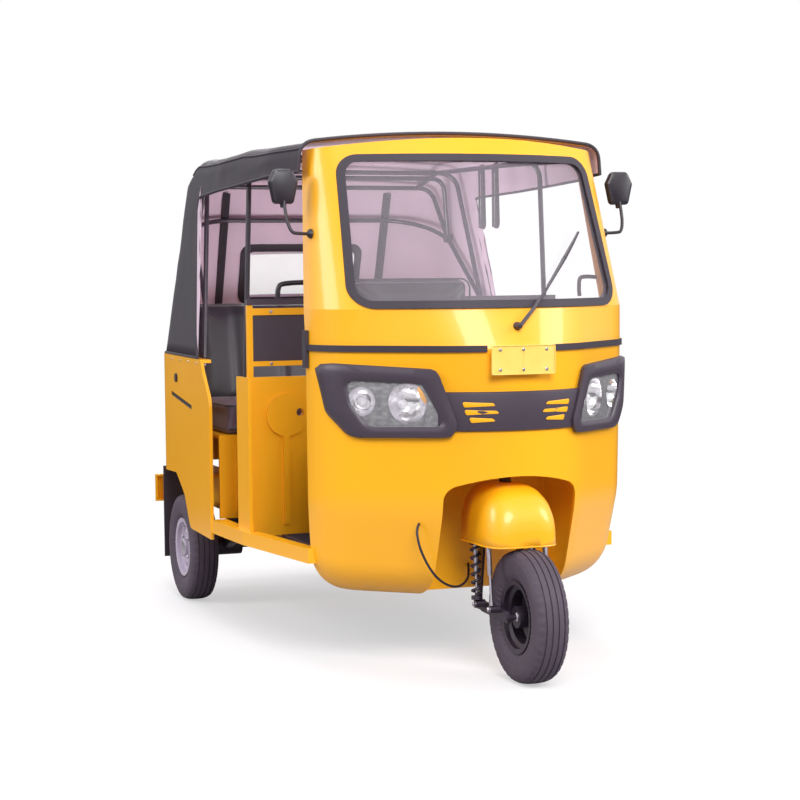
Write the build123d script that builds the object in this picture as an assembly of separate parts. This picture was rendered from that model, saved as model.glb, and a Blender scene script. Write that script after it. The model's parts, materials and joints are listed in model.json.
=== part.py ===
from build123d import *
from collections import namedtuple
from functools import cache
from math import cos, radians, sin, sqrt, tan
import os

# Passenger auto rickshaw, millimetres.  The front faces -Y, the vehicle's right side is -X, the floor is Z = 0.
# Stations are distances behind the front axle, turned into Y by behind().

# ---------------------------------------------------------------- overall sizes
LENGTH = 2645.0             # front of the front tyre to the back of the rear bumper
WHEELBASE = 1985.0
TYRE_R = 207.5              # 4.00-8 tyres
TYRE_HALF = 54.0
TREAD_HALF = 46.0
RIM_R = 101.6               # bead seat of an 8 inch rim
REAR_TRACK_HALF = 550.0
TUB_HALF = 635.0            # widest, at the front of the rear tub
PANEL = 12.0                # cowl and tub walls with their stiffening
PILLAR = 25.0               # windscreen frame, double skinned
FIT = 0.5                   # gap between a turning piece and what carries it

FRONT_AXLE_Y = TYRE_R - LENGTH / 2


def behind(distance):
    return FRONT_AXLE_Y + distance


REAR_Y = LENGTH / 2

# ---------------------------------------------------------------- cab shell
BELT_Z = 1037.0
CabRow = namedtuple("CabRow", "z half nose nose_r corner_r flank rear")
LOWER_CAB = (
    CabRow(238, 533, 172, 400, 270, 42, 545),
    CabRow(540, 545, 62, 400, 270, 42, 515),
    CabRow(BELT_Z, 546, 40, 400, 270, 42, 515),
)
UPPER_CAB = (
    LOWER_CAB[-1],
    CabRow(1160, 543, 95, 480, 245, 36, 540),
    CabRow(1720, 500, 430, 800, 95, 22, 672),
)
ROOF_CROWN_Z = 1708.0       # windscreen header at the centre
ROOF_SIDE_Z = 1676.0        # and at the cab's sides
CAB_TOP_HALF = 505.0
RUN_OUT = 170.0             # how far a cavity runs on past an open end
BOTTOM_R = 150.0            # rounding under the cowl
SHOULDER_R = 400.0          # and where its lower half starts to draw in


def cab_plan(row, out):
    """Plan face of the cab at one height, moved outwards by out."""
    half, nose = row.half + out, row.nose - out
    nose_r, corner_r = row.nose_r + out, row.corner_r + out
    s, c = sin(radians(row.flank)), cos(radians(row.flank))
    arc_end = (nose_r * s, nose + nose_r * (1 - c))
    flank_x = half - corner_r * (1 - s)
    flank_end = (flank_x, arc_end[1] + (flank_x - arc_end[0]) * s / c)
    corner_y = flank_end[1] + corner_r * c
    turn = radians((row.flank + 90) / 2)
    middle = (half - corner_r + corner_r * sin(turn), corner_y - corner_r * cos(turn))

    def at(x, station):
        return (x, behind(station), row.z)

    edges = [ThreePointArc(at(-arc_end[0], arc_end[1]), at(0, nose), at(*arc_end))]
    for side in (1, -1):
        edges += [
            Line(at(side * arc_end[0], arc_end[1]), at(side * flank_x, flank_end[1])),
            ThreePointArc(at(side * flank_x, flank_end[1]), at(side * middle[0], middle[1]), at(side * half, corner_y)),
            Line(at(side * half, corner_y), at(side * half, row.rear)),
        ]
    edges.append(Line(at(half, row.rear), at(-half, row.rear)))
    return Face(Wire(edges))


def row_at(low, high, z):
    """Row at height z on the straight lines through two others."""
    share = (z - low.z) / (high.z - low.z)
    return CabRow(*(a + (b - a) * share for a, b in zip(low, high)))


@cache
def cab_solid(out, upper=False, cavity=False):
    """Solid cab moved outwards by out: the lower cab up to the belt, or the upper cab above it.

    A cavity keeps the wall at the cowl's bottom and runs out past the open rear and the belt.
    """
    table = UPPER_CAB if upper else LOWER_CAB
    rows = [row._replace(rear=table[-1].rear + RUN_OUT) for row in table]
    if cavity and upper:
        rows.insert(0, rows[0]._replace(z=BELT_Z - RUN_OUT))
    elif cavity:
        rows[0] = row_at(rows[0], rows[1], rows[0].z + PANEL)
        rows[-1] = row_at(rows[-2], rows[-1], BELT_Z + RUN_OUT)
    solid = Part() + loft([cab_plan(row, out) for row in rows], ruled=True)
    if not upper:
        for z, radius in ((rows[0].z, BOTTOM_R + out), (rows[1].z, SHOULDER_R)):
            level = [edge for edge in solid.edges() if abs(edge.center().Z - z) < 1]
            solid = fillet([edge for edge in level if edge.center().Y < behind(rows[-1].rear) - 1], radius)
    if cavity:
        return solid
    side = [(FRONT_CUT, rows[0].z)] + [(row.rear, row.z) for row in table] + [(FRONT_CUT, rows[-1].z)]
    return solid & along_x(make_face(Polyline(*side, close=True)), -700, 700)


def cab_skin(outer, inner, window, upper=False):
    """Layer of the cab's surface between two offsets, seen through a front-view window."""
    return (cab_solid(outer, upper) & window) - cab_solid(inner, upper, cavity=True)


def cab_front(x, z, out=0.0):
    """Station of the cab's front face at x and height z, between the rows in straight lines."""
    rows = UPPER_CAB if z > BELT_Z else LOWER_CAB
    low, high = next(pair for pair in zip(rows, rows[1:]) if pair[0].z <= z <= pair[1].z)
    row = row_at(low, high, z)
    half, nose = row.half + out, row.nose - out
    nose_r, corner_r = row.nose_r + out, row.corner_r + out
    s, c = sin(radians(row.flank)), cos(radians(row.flank))
    x = abs(x)
    if x <= nose_r * s:
        return nose + nose_r - sqrt(nose_r**2 - x**2)
    flank_x = half - corner_r * (1 - s)
    flank_y = nose + nose_r * (1 - c) + (flank_x - nose_r * s) * s / c
    if x <= flank_x:
        return flank_y - (flank_x - x) * s / c
    return flank_y + corner_r * c - sqrt(corner_r**2 - (x - half + corner_r) ** 2)


# ---------------------------------------------------------------- shape helpers
def block(x, y, z):
    """Box between a low and a high limit on each axis."""
    size = [limits[1] - limits[0] for limits in (x, y, z)]
    middle = [(limits[1] + limits[0]) / 2 for limits in (x, y, z)]
    return Pos(*middle) * Box(*size)


def rounded(corners):
    """Flat face through (a, b, corner radius) rows."""
    face = make_face(Polyline(*[(a, b) for a, b, _ in corners], close=True))
    for a, b, radius in corners:
        if radius:
            face = fillet(face.vertices().sort_by_distance((a, b, 0))[0], radius)
    return face


def along_y(face, front, rear):
    """Front-view face (X, Z) run from the front station to the rear one."""
    plane = Plane(origin=(0, behind(rear), 0), x_dir=(1, 0, 0), z_dir=(0, -1, 0))
    return extrude(plane * face, amount=rear - front)


def along_x(face, low, high):
    """Side-view face (station, Z) run between two X limits."""
    plane = Plane(origin=(low, FRONT_AXLE_Y, 0), x_dir=(0, 1, 0), z_dir=(1, 0, 0))
    return extrude(plane * face, amount=high - low)


def along_z(face, low, high):
    """Plan face (X, station) run between two heights."""
    return extrude(Plane(origin=(0, FRONT_AXLE_Y, low)) * face, amount=high - low)


def rod(start, end, radius):
    """Round bar between two (X, station, Z) points."""
    a, b = (Vector(x, behind(s), z) for x, s, z in (start, end))
    return extrude(Plane(origin=a, z_dir=b - a) * Circle(radius), amount=(b - a).length)


def tube(points, radius, bend):
    """Round bar bent through (X, station, Z) points."""
    path = FilletPolyline(*[(x, behind(s), z) for x, s, z in points], radius=bend)
    return sweep(Plane(origin=path @ 0, z_dir=path % 0) * Circle(radius), path=path)


def pair(shape):
    """The shape and its mirror image on the other side of the vehicle."""
    return [shape, mirror(shape, about=Plane.YZ)]


def disc(x_from, x_to, station, z, radius):
    return rod((x_from, station, z), (x_to, station, z), radius)


# ---------------------------------------------------------------- wheel well in the cowl
WELL_HALF = 226.0
WELL_SHOULDER_Z = 598.0
WELL_TOP_Z = 638.0
WELL_CORNER = 50.0
WELL_REAR = 425.0
WELL_LOW_Z = 200.0
TUNNEL_GROW = 28.0           # the tunnel behind the skin is wider than the arch
FRONT_CUT = -100.0           # station ahead of the cab, where cuts from the front begin

RAKE = 24.0                 # steering axis, leaning back
STEER_STATION = 85.0        # the axis passes this station
STEER_Z = 420.0             # at this height


def steer_station(z):
    return STEER_STATION + (z - STEER_Z) * tan(radians(RAKE))


def well_arch(grow):
    half, shoulder, top = WELL_HALF + grow, WELL_SHOULDER_Z + grow, WELL_TOP_Z + grow
    edges = [
        Line((-half, WELL_LOW_Z), (-half, shoulder)),
        ThreePointArc((-half, shoulder), (0, top), (half, shoulder)),
        Line((half, shoulder), (half, WELL_LOW_Z)),
        Line((half, WELL_LOW_Z), (-half, WELL_LOW_Z)),
    ]
    face = make_face(edges)
    for side in (-1, 1):
        face = fillet(face.vertices().sort_by_distance((side * half, shoulder, 0))[0], WELL_CORNER + grow)
    return face


# ---------------------------------------------------------------- lamps, grille, plate on the cowl
# front-view outlines: x, z, corner radius (left half of the vehicle; the right is mirrored)
BEZEL = ((541, 993, 22), (250, 975, 25), (192, 800, 22), (210, 762, 18), (466, 756, 45), (519, 832, 60))
LENS = ((480, 938, 16), (288, 929, 16), (228, 797, 14), (424, 792, 35), (466, 864, 40))
GRILLE = ((-250, 903, 0), (250, 903, 0), (250, 782, 0), (-250, 782, 0))
BEZEL_OUT = 22.0
LENS_OUT = 12.0
LENS_THICK = 4.0
REFLECTOR_DEPTH = 62.0
REFLECTORS = ((437, 872, 47), (322, 868, 64))       # x, z, mouth radius
GRILLE_OUT = 8.0
GRILLE_SLOTS = ((72, 168, 865, 9), (72, 164, 838, 9), (72, 150, 811, 9))   # x from, x to, z, half height
LAMP_CUT_REAR = 440.0

PLATE_HALF = 107.0
PLATE_LOW_Z, PLATE_HIGH_Z = 957.0, 1047.0
PLATE_STATION = 20.0
PLATE_THICK = 3.0
PLATE_PAD_HALF = 70.0

BELT_HALF_HEIGHT = 10.0
BELT_OUT = 7.0
END_CAP = (485, 515, 972, 1092)                     # station from, to, z from, to

# ---------------------------------------------------------------- windscreen
SCREEN_LOW = (458, 1172)                            # half width, z of the opening's lower corners
SCREEN_HIGH = (431, 1645)
SCREEN_CORNER = 60.0
SEAL_LAP = 10.0                                     # rubber outside the opening
SEAL_IN = 14.0                                      # rubber inside it
SEAL_OUT = 7.0
SCREEN_CUT_REAR = 640.0
GLASS_INSET = 8.0
GLASS_THICK = 5.0


def screen_face(grow):
    (low_x, low_z), (high_x, high_z) = SCREEN_LOW, SCREEN_HIGH
    r = SCREEN_CORNER + grow
    return rounded([
        (-low_x - grow, low_z - grow, r), (low_x + grow, low_z - grow, r),
        (high_x + grow, high_z + grow, r), (-high_x - grow, high_z + grow, r),
    ])


def front_cowl():
    well = along_y(well_arch(0), FRONT_CUT, WELL_REAR)
    shell = cab_solid(0.0) - cab_solid(-PANEL, cavity=True)
    liner = along_y(well_arch(TUNNEL_GROW + PANEL), FRONT_CUT, WELL_REAR + PANEL) & cab_solid(0.0)
    tunnel = along_y(well_arch(TUNNEL_GROW), FRONT_CUT, WELL_REAR) & cab_solid(-PANEL, cavity=True)
    cowl = shell + liner - well - tunnel
    z = WELL_TOP_Z + TUNNEL_GROW
    column_hole = rod((0, steer_station(z - 120), z - 120), (0, steer_station(z + 120), z + 120), COLUMN_R + 14)
    cowl -= column_hole
    cowl -= rod(CABLE[0], CABLE[1], CABLE_R + FIT)
    for lamp in pair(lamp_cut(LENS)):
        cowl -= lamp
    return cowl


def header_face(grow):
    """Front-view face under the crowned roof line."""
    half = CAB_TOP_HALF + 100
    edges = [
        ThreePointArc((-half, ROOF_SIDE_Z - 14 + grow), (0, ROOF_CROWN_Z + grow), (half, ROOF_SIDE_Z - 14 + grow)),
        Line((half, ROOF_SIDE_Z - 14 + grow), (half, 900)),
        Line((half, 900), (-half, 900)),
        Line((-half, 900), (-half, ROOF_SIDE_Z - 14 + grow)),
    ]
    return make_face(edges)


def windscreen_frame():
    outer = cab_solid(0.0, upper=True) & along_y(header_face(0), FRONT_CUT, 900)
    inner = cab_solid(-PILLAR, upper=True, cavity=True) & along_y(header_face(-PILLAR), FRONT_CUT, 900)
    return outer - inner - screen_cut(0)


def screen_cut(grow):
    return along_y(screen_face(grow), FRONT_CUT, SCREEN_CUT_REAR)


def windscreen_seal():
    lip = cab_skin(SEAL_OUT, 0.0, screen_cut(SEAL_LAP), upper=True)
    web = cab_skin(0.0, -PILLAR, screen_cut(0), upper=True)
    return lip + web - screen_cut(-SEAL_IN)


def windscreen_glass():
    return cab_skin(-GLASS_INSET, -GLASS_INSET - GLASS_THICK, screen_cut(-SEAL_IN), upper=True)


def belt_moulding():
    low = LOWER_CAB[-1]._replace(z=BELT_Z - BELT_HALF_HEIGHT)
    band = extrude(cab_plan(low, BELT_OUT), amount=2 * BELT_HALF_HEIGHT)
    band -= extrude(cab_plan(low._replace(rear=low.rear + RUN_OUT), 0.0), amount=2 * BELT_HALF_HEIGHT)
    band -= block((-PLATE_HALF - 2, PLATE_HALF + 2), (behind(FRONT_CUT), behind(300)), (900, 1100))
    front, rear, low_z, high_z = END_CAP
    for cap in pair(block((low.half, low.half + BELT_OUT + 5), (behind(front), behind(rear)), (low_z, high_z))):
        band += cap
    return band


def lamp_cut(outline, rear=LAMP_CUT_REAR):
    return along_y(rounded(outline), FRONT_CUT, rear)


def headlamp_bezels():
    return pair(cab_skin(BEZEL_OUT, 0.0, lamp_cut(BEZEL)) - lamp_cut(LENS))


def headlamp_lenses():
    return pair(cab_skin(LENS_OUT, LENS_OUT - LENS_THICK, lamp_cut(LENS)))


def headlamp_reflectors():
    body = cab_skin(LENS_OUT - LENS_THICK, -REFLECTOR_DEPTH, lamp_cut(LENS, LAMP_CUT_REAR + 60))
    for x, z, mouth in REFLECTORS:
        body -= Pos(x, behind(cab_front(x, z) - 12), z) * Sphere(mouth)
    return pair(body)


def front_grille():
    strip = cab_skin(GRILLE_OUT, 0.0, along_y(rounded(GRILLE), FRONT_CUT, 300))
    for bezel in pair(lamp_cut(BEZEL)):
        strip -= bezel
    for start, end, z, half in GRILLE_SLOTS:
        slot = block((start, end), (behind(FRONT_CUT), behind(200)), (z - half, z + half))
        for one in pair(slot):
            strip -= one
    return strip


def number_plate():
    front = behind(PLATE_STATION)
    plate = block((-PLATE_HALF, PLATE_HALF), (front, front + PLATE_THICK), (PLATE_LOW_Z, PLATE_HIGH_Z))
    pad = block((-PLATE_PAD_HALF, PLATE_PAD_HALF), (front + PLATE_THICK, behind(120)),
                (PLATE_LOW_Z + 15, BELT_Z - BELT_HALF_HEIGHT - 2))
    return plate + (pad - cab_solid(0.0))


# ---------------------------------------------------------------- floor, sills, partition
FLOOR_Z = 360.0
FLOOR_THICK = 14.0
FLOOR_FRONT = WELL_REAR + PANEL
FLOOR_HALF = 500.0
CABIN_HALF = 570.0
PARTITION = 1050.0          # station of the wall behind the driver
SEAT_FRONT = 1412.0         # front panel of the passenger seat box
CAB_REAR = LOWER_CAB[-1].rear
TUB_FRONT = 1397.0
TUB_REAR = LENGTH - TYRE_R - 32.5   # station of the rear panel
TUB_REAR_HALF = TUB_HALF - 45       # the tub draws in towards the rear
# plan of a sill: x, station
SILL_PLAN = ((505, CAB_REAR), (546, CAB_REAR), (TUB_HALF - 17, 1030), (TUB_HALF - 3, TUB_FRONT), (575, TUB_FRONT),
             (570, 1030))
SILL_LOW_Z, SILL_HIGH_Z = 335.0, 383.0
RAIL_X, RAIL_HALF, RAIL_LOW_Z = 300.0, 30.0, 300.0
CROSS_STATIONS = (600, 1000, 1380)


def tub_half(station):
    return TUB_HALF - (TUB_HALF - TUB_REAR_HALF) * (station - TUB_FRONT) / (TUB_REAR - TUB_FRONT)


def floor_pan():
    low = FLOOR_Z - FLOOR_THICK
    plan = [(-FLOOR_HALF, FLOOR_FRONT), (FLOOR_HALF, FLOOR_FRONT), (FLOOR_HALF, CAB_REAR)]
    plan += [(569, 1030), (574, TUB_FRONT), (574, SEAT_FRONT), (-574, SEAT_FRONT), (-574, TUB_FRONT), (-569, 1030)]
    plan += [(-FLOOR_HALF, CAB_REAR)]
    pan = along_z(make_face(Polyline(*plan, close=True)), low, FLOOR_Z)
    pan -= block((-700, 700), (behind(0), behind(CAB_REAR)), (low - 5, FLOOR_Z + 5)) - cab_solid(-PANEL, cavity=True)
    for side in (-1, 1):
        x = side * RAIL_X
        pan += block((x - RAIL_HALF, x + RAIL_HALF), (behind(FLOOR_FRONT), behind(WHEELBASE - 285)), (RAIL_LOW_Z, low))
    for station in CROSS_STATIONS:
        pan += block((-RAIL_X, RAIL_X), (behind(station), behind(station + 50)), (RAIL_LOW_Z + 10, low))
    return pan


def side_sills():
    face = make_face(Polyline(*SILL_PLAN, close=True))
    return pair(along_z(face, SILL_LOW_Z, SILL_HIGH_Z) - cab_solid(0.0))


WALL_THICK = 18.0
WALL_TOP_Z = 916.0
LOW_RAIL = (954.0, 971.0)           # z from, to
HIGH_RAIL = (1131.0, 1155.0)
TOP_BAR = (1166.0, 1187.0)
POSTS_X = ((566, 586), (230, 250))  # x from, to of the frame's posts on each side
JAMB = (1005, 1150, 588, 600)       # side strip at the door opening: station from, to, x from, to
BOSS = (448, 782, 75)               # pressed round: x, z, radius
BOSS_HOLE = (401, 790, 14)
RIBS_X = (90, 270, 452)
RIB = (22, 10)                      # width and height of a pressed rib
DARK_PANEL_THICK = 6.0


def partition_panels():
    """Lower pressed wall behind the driver, with its jambs."""
    front, rear = behind(PARTITION), behind(PARTITION + WALL_THICK)
    wall = block((-CABIN_HALF + 2, CABIN_HALF - 2), (front, rear), (FLOOR_Z, WALL_TOP_Z))
    for side in (-1, 1):
        for x in RIBS_X:
            low, high = sorted((side * x - RIB[0] / 2, side * x + RIB[0] / 2))
            wall += block((low, high), (front - RIB[1], front), (FLOOR_Z + 40, WALL_TOP_Z - 60))
        x, z, radius = BOSS
        wall += rod((side * x, PARTITION - RIB[1], z), (side * x, PARTITION, z), radius)
        x, z, radius = BOSS_HOLE
        wall -= rod((side * x, PARTITION - 30, z), (side * x, PARTITION + 40, z), radius)
        s_from, s_to, x_from, x_to = JAMB
        low, high = sorted((side * x_from, side * x_to))
        wall += block((low, high), (behind(s_from), behind(s_to)), (SILL_HIGH_Z, WALL_TOP_Z))
        low, high = sorted((side * (CABIN_HALF - 2), side * x_to))
        wall += block((low, high), (front, rear), (SILL_HIGH_Z, WALL_TOP_Z))
    return wall


def partition_rails():
    """Frame on the lower wall: two cross rails on posts that also carry the top bar."""
    depth = (behind(PARTITION), behind(PARTITION + WALL_THICK))
    span = (-POSTS_X[0][1], POSTS_X[0][1])
    frame = block(span, depth, LOW_RAIL) + block(span, depth, HIGH_RAIL)
    for near, far in POSTS_X:
        for x in ((near, far), (-far, -near)):
            frame += block(x, depth, (WALL_TOP_Z, TOP_BAR[0]))
    return frame


def partition_screen():
    """Closed panel in the frame, and the padded bar on top of the posts."""
    half, middle = POSTS_X[0][0], PARTITION + WALL_THICK / 2
    panel_y = (behind(middle - DARK_PANEL_THICK / 2), behind(middle + DARK_PANEL_THICK / 2))
    panel = block((-half, half), panel_y, (LOW_RAIL[1], HIGH_RAIL[0]))
    for near, far in ((-POSTS_X[1][1], -POSTS_X[1][0]), POSTS_X[1]):
        panel -= block((near, far), (behind(PARTITION - 5), behind(PARTITION + WALL_THICK + 5)), (LOW_RAIL[1], HIGH_RAIL[0]))
    bar = block((-POSTS_X[0][1], POSTS_X[0][1]), (behind(PARTITION - 3), behind(PARTITION + WALL_THICK + 3)), TOP_BAR)
    return [panel, bar]


# ---------------------------------------------------------------- seats
DRIVER_HALF = 230.0
DRIVER_SEAT = (790, 1040, 640)      # station from, to, top of the base
CUSHION_THICK = 70.0
DRIVER_BACK_TOP = 1256.0
SEAT_PLATE = 12.0


def driver_seat_base():
    front, rear, top = DRIVER_SEAT
    box = block((-DRIVER_HALF + 15, DRIVER_HALF - 15), (behind(front + 20), behind(rear)), (FLOOR_Z, top))
    hollow = block((-DRIVER_HALF + 27, DRIVER_HALF - 27), (behind(front + 32), behind(rear + 50)), (FLOOR_Z, top - 12))
    plate = block((-DRIVER_HALF + 30, DRIVER_HALF - 30), (behind(PARTITION - SEAT_PLATE), behind(PARTITION)),
                  (WALL_TOP_Z + 12, TOP_BAR[0] - 4))
    return [box - hollow, plate]


def driver_seat_pads():
    front, rear, top = DRIVER_SEAT
    seat = block((-DRIVER_HALF, DRIVER_HALF), (behind(front), behind(rear - 22)), (top, top + CUSHION_THICK))
    seat = fillet(seat.edges().filter_by(Axis.Z), 30)
    low = WALL_TOP_Z + 14
    plate_face = PARTITION - SEAT_PLATE
    back = block((-DRIVER_HALF, DRIVER_HALF), (behind(plate_face - 50), behind(plate_face)), (low, DRIVER_BACK_TOP))
    back = fillet(back.edges().filter_by(Axis.Y), 35)
    return [seat, back]


SEAT_TOP_Z = 688.0
WHEEL_BOX_FRONT = WHEELBASE - 260
BULKHEAD = WHEELBASE + 5
SEAT_HALF = tub_half(BULKHEAD) - PANEL - 2
SEAT_RIB_X = (60, 180, 300, 420, 520)
PASSENGER_PAD = 112.0
# side view of the backrest: station from the bulkhead, z
BACKREST = ((-105, 692), (-105, 805), (-22, 1172), (40, 1172), (0, 968), (-14, 950), (-14, 692))


def seat_box():
    """Box under the passengers: pressed front panel, top, and bulkhead behind it up to the deck."""
    front = behind(SEAT_FRONT)
    box = block((-SEAT_HALF, SEAT_HALF), (front, front + PANEL), (SILL_HIGH_Z, SEAT_TOP_Z))
    box += block((-FLOOR_HALF, FLOOR_HALF), (front, front + PANEL), (FLOOR_Z - FLOOR_THICK, SILL_HIGH_Z))
    for side in (-1, 1):
        for x in SEAT_RIB_X:
            low, high = sorted((side * x - 14, side * x + 14))
            box += block((low, high), (front - 8, front), (SILL_HIGH_Z + 20, SEAT_TOP_Z - 40))
    box += block((-SEAT_HALF, SEAT_HALF), (front, behind(BULKHEAD)), (SEAT_TOP_Z - PANEL, SEAT_TOP_Z))
    box += block((-SEAT_HALF, SEAT_HALF), (behind(BULKHEAD - PANEL), behind(BULKHEAD)), (SEAT_TOP_Z - PANEL, DECK_Z - PANEL))
    return box


def passenger_cushion():
    pad = block((-SEAT_HALF + 24, SEAT_HALF - 24), (behind(SEAT_FRONT + 12), behind(BULKHEAD - 110)),
                (SEAT_TOP_Z, SEAT_TOP_Z + PASSENGER_PAD))
    return fillet(pad.edges().filter_by(Axis.Z), 40)


def passenger_backrest():
    face = make_face(Polyline(*[(BULKHEAD + offset, z) for offset, z in BACKREST], close=True))
    return along_x(face, -SEAT_HALF + 52, SEAT_HALF - 52)


# ---------------------------------------------------------------- rear tub
DECK_Z = 960.0
TUB_LOW_Z = 310.0
TUB_CORNER = 220.0
SHELF_Z = 500.0                     # lower edge behind the wheels
BAY_HALF = 432.0                    # engine bay
DOOR_HALF = 360.0
DOOR_LOW_Z, DOOR_HIGH_Z = 506.0, 880.0
# side view of the quarter: station, z, corner radius
QUARTER = (
    (TUB_FRONT, TUB_LOW_Z, 0), (TUB_FRONT, 818, 60), (1510, 918, 50), (1532, DECK_Z, 0), (TUB_REAR + 200, DECK_Z, 0),
    (TUB_REAR + 200, SHELF_Z - 20, 0), (WHEELBASE + 25, SHELF_Z, 60), (WHEELBASE - 125, 430, 90),
    (WHEELBASE - 225, TUB_LOW_Z, 60),
)
DECK_RAIL = 40.0                    # width of the deck left along each side
LOUVRE = (WHEELBASE - 283, 773, WHEELBASE + 98, 809, 9)     # station and z of each end, half height
FILLER = (WHEELBASE - 13, 874, 17)


def tub_plan(inset, front):
    wide, narrow, rear, corner = tub_half(front) - inset, TUB_REAR_HALF - inset, TUB_REAR - inset, TUB_CORNER - inset
    return rounded([(-wide, front, 0), (wide, front, 0), (narrow, rear, corner), (-narrow, rear, corner)])


def louvre_face():
    s0, z0, s1, z1, half = LOUVRE
    return make_face(Polyline((s0, z0 - half), (s1, z1 - half), (s1, z1 + half), (s0, z0 + half), close=True))


def rear_tub():
    tub = along_z(tub_plan(0, TUB_FRONT), TUB_LOW_Z, DECK_Z)
    tub -= along_z(tub_plan(PANEL, TUB_FRONT - 40), SHELF_Z + PANEL, DECK_Z - PANEL)
    tub -= along_z(tub_plan(PANEL, TUB_FRONT - 40), TUB_LOW_Z - 40, SHELF_Z)
    tub &= along_x(rounded(QUARTER), -TUB_HALF - 10, TUB_HALF + 10)
    tub -= block((-BAY_HALF, BAY_HALF), (behind(1300), behind(TUB_REAR - PANEL)), (SHELF_Z - 10, SHELF_Z + PANEL + 5))
    tub -= block((-TUB_HALF, TUB_HALF), (behind(1300), behind(WHEEL_BOX_FRONT)), (SHELF_Z - 10, SHELF_Z + PANEL + 5)) \
        & along_z(tub_plan(PANEL, TUB_FRONT - 40), 300, 900)
    tub -= along_z(tub_plan(DECK_RAIL, TUB_FRONT - 40), DECK_Z - PANEL - 5, DECK_Z + 5) \
        & block((-TUB_HALF, TUB_HALF), (behind(1300), behind(BULKHEAD)), (DECK_Z - PANEL - 5, DECK_Z + 5))
    tub -= block((-DOOR_HALF, DOOR_HALF), (behind(TUB_REAR - 60), behind(TUB_REAR + 60)), (DOOR_LOW_Z, DOOR_HIGH_Z))
    tub -= block((-DOOR_HALF, DOOR_HALF), (behind(TUB_REAR - 60), behind(TUB_REAR + 60)), (SHELF_Z - 30, DOOR_LOW_Z))
    for cut in pair(along_x(louvre_face(), TUB_REAR_HALF - 40, TUB_HALF + 40)):
        tub -= cut
    for side in (-1, 1):
        low, high = sorted((side * BAY_HALF, side * (BAY_HALF + PANEL)))
        tub += block((low, high), (behind(WHEEL_BOX_FRONT), behind(TUB_REAR - PANEL)), (SHELF_Z - 150, SHELF_Z + PANEL))
    return tub


def side_trims():
    """Black louvre inserts and, on the right, the filler cap."""
    layer = along_z(tub_plan(3, TUB_FRONT), TUB_LOW_Z, DECK_Z) - along_z(tub_plan(PANEL, TUB_FRONT - 40), 300, 1000)
    inserts = pair(along_x(louvre_face(), TUB_REAR_HALF - 40, TUB_HALF + 40) & layer)
    station, z, radius = FILLER
    side = tub_half(station)
    cap = disc(-side - 6, -side + 3, station, z, radius) - along_z(tub_plan(0, TUB_FRONT), TUB_LOW_Z, DECK_Z)
    return inserts + [cap]


DOOR_THICK = 14.0
DOOR_GAP = 6.0
HINGE_Z = DOOR_HIGH_Z - 14
HINGE_STATION = TUB_REAR + 12


def engine_door():
    half, low, high = DOOR_HALF - DOOR_GAP, DOOR_LOW_Z, DOOR_HIGH_Z - DOOR_GAP
    door = block((-half, half), (behind(TUB_REAR - DOOR_THICK), behind(TUB_REAR)), (low, high))
    for row in range(5):
        z = low + 90 + row * 34
        door -= block((-220, 220), (behind(TUB_REAR - 30), behind(TUB_REAR + 5)), (z, z + 12))
    for side in (-1, 1):
        x = side * (half - 80)
        door += disc(x - 30, x + 30, HINGE_STATION, HINGE_Z, 9) + block(
            (x - 30, x + 30), (behind(TUB_REAR - 4), behind(HINGE_STATION)), (HINGE_Z - 9, HINGE_Z + 9))
    return door


# ---------------------------------------------------------------- engine and rear running gear
ENGINE = ((-170, 170), (WHEELBASE - 85, TUB_REAR - 145), (230, 620))
AXLE_Z = TYRE_R
ARM_X = 420.0
ARM_PIVOT = (WHEELBASE - 295, 300)  # station, z
SHAFT_R = 16.0
DRUM_R = 78.0
DRUM_THICK = 14.0
STUB_R = 12.0
WHEEL_FACE = 48.0                   # from the wheel's middle to the drum behind the rim
SPRING_X = 390.0
SPRING_R, DAMPER_R = 36.0, 26.0     # outside of the coils, and the damper inside them
SPRING_COILS = (252, 285, 318, 351, 384, 417, 450)
COIL_THICK = 14.0


def engine_block():
    x, station, z = ENGINE
    block_solid = block(x, (behind(station[0]), behind(station[1])), z)
    return fillet(block_solid.edges().filter_by(Axis.Y), 40)


def rear_suspension():
    """Each side: arm from the chassis pivot to the hub, half shaft, backplate, stub and the spring above."""
    units = []
    drum_face = REAR_TRACK_HALF - WHEEL_FACE
    for side in (-1, 1):
        station, z = ARM_PIVOT
        unit = rod((side * (RAIL_X + RAIL_HALF), station, z), (side * (ARM_X + 20), station, z), 22)
        unit += rod((side * ARM_X, station, z), (side * ARM_X, WHEELBASE, AXLE_Z), 24)
        unit += disc(side * ENGINE[0][1], side * (drum_face - DRUM_THICK), WHEELBASE, AXLE_Z, SHAFT_R)
        unit += disc(side * (SPRING_X - 30), side * (drum_face - DRUM_THICK), WHEELBASE, AXLE_Z, 40)
        unit += disc(side * (drum_face - DRUM_THICK), side * drum_face, WHEELBASE, AXLE_Z, DRUM_R)
        unit += disc(side * drum_face, side * (REAR_TRACK_HALF + 30), WHEELBASE, AXLE_Z, STUB_R)
        x = side * SPRING_X
        unit += rod((x, WHEELBASE, AXLE_Z), (x, WHEELBASE, SHELF_Z), DAMPER_R)
        for z_low in SPRING_COILS:
            unit += rod((x, WHEELBASE, z_low), (x, WHEELBASE, z_low + COIL_THICK), SPRING_R)
        unit += rod((x, WHEELBASE, 488), (x, WHEELBASE, SHELF_Z), SPRING_R)
        units.append(unit)
    return units


# ---------------------------------------------------------------- rear bumper, lamps, flaps
BUMPER_Z = (345.0, 455.0)
BUMPER_HALF = 600.0
BUMPER_DEPTH = 36.0
TAIL = (470, 575, 372, 432)         # lamp x from, to, z from, to
TAIL_OUT = 6.0
TOW_R = 14.0                        # tow eye in a lug under the bumper
TOW_DROP, TOW_LUG_HALF, TOW_THICK = 22.0, 28.0, 12.0


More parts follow.
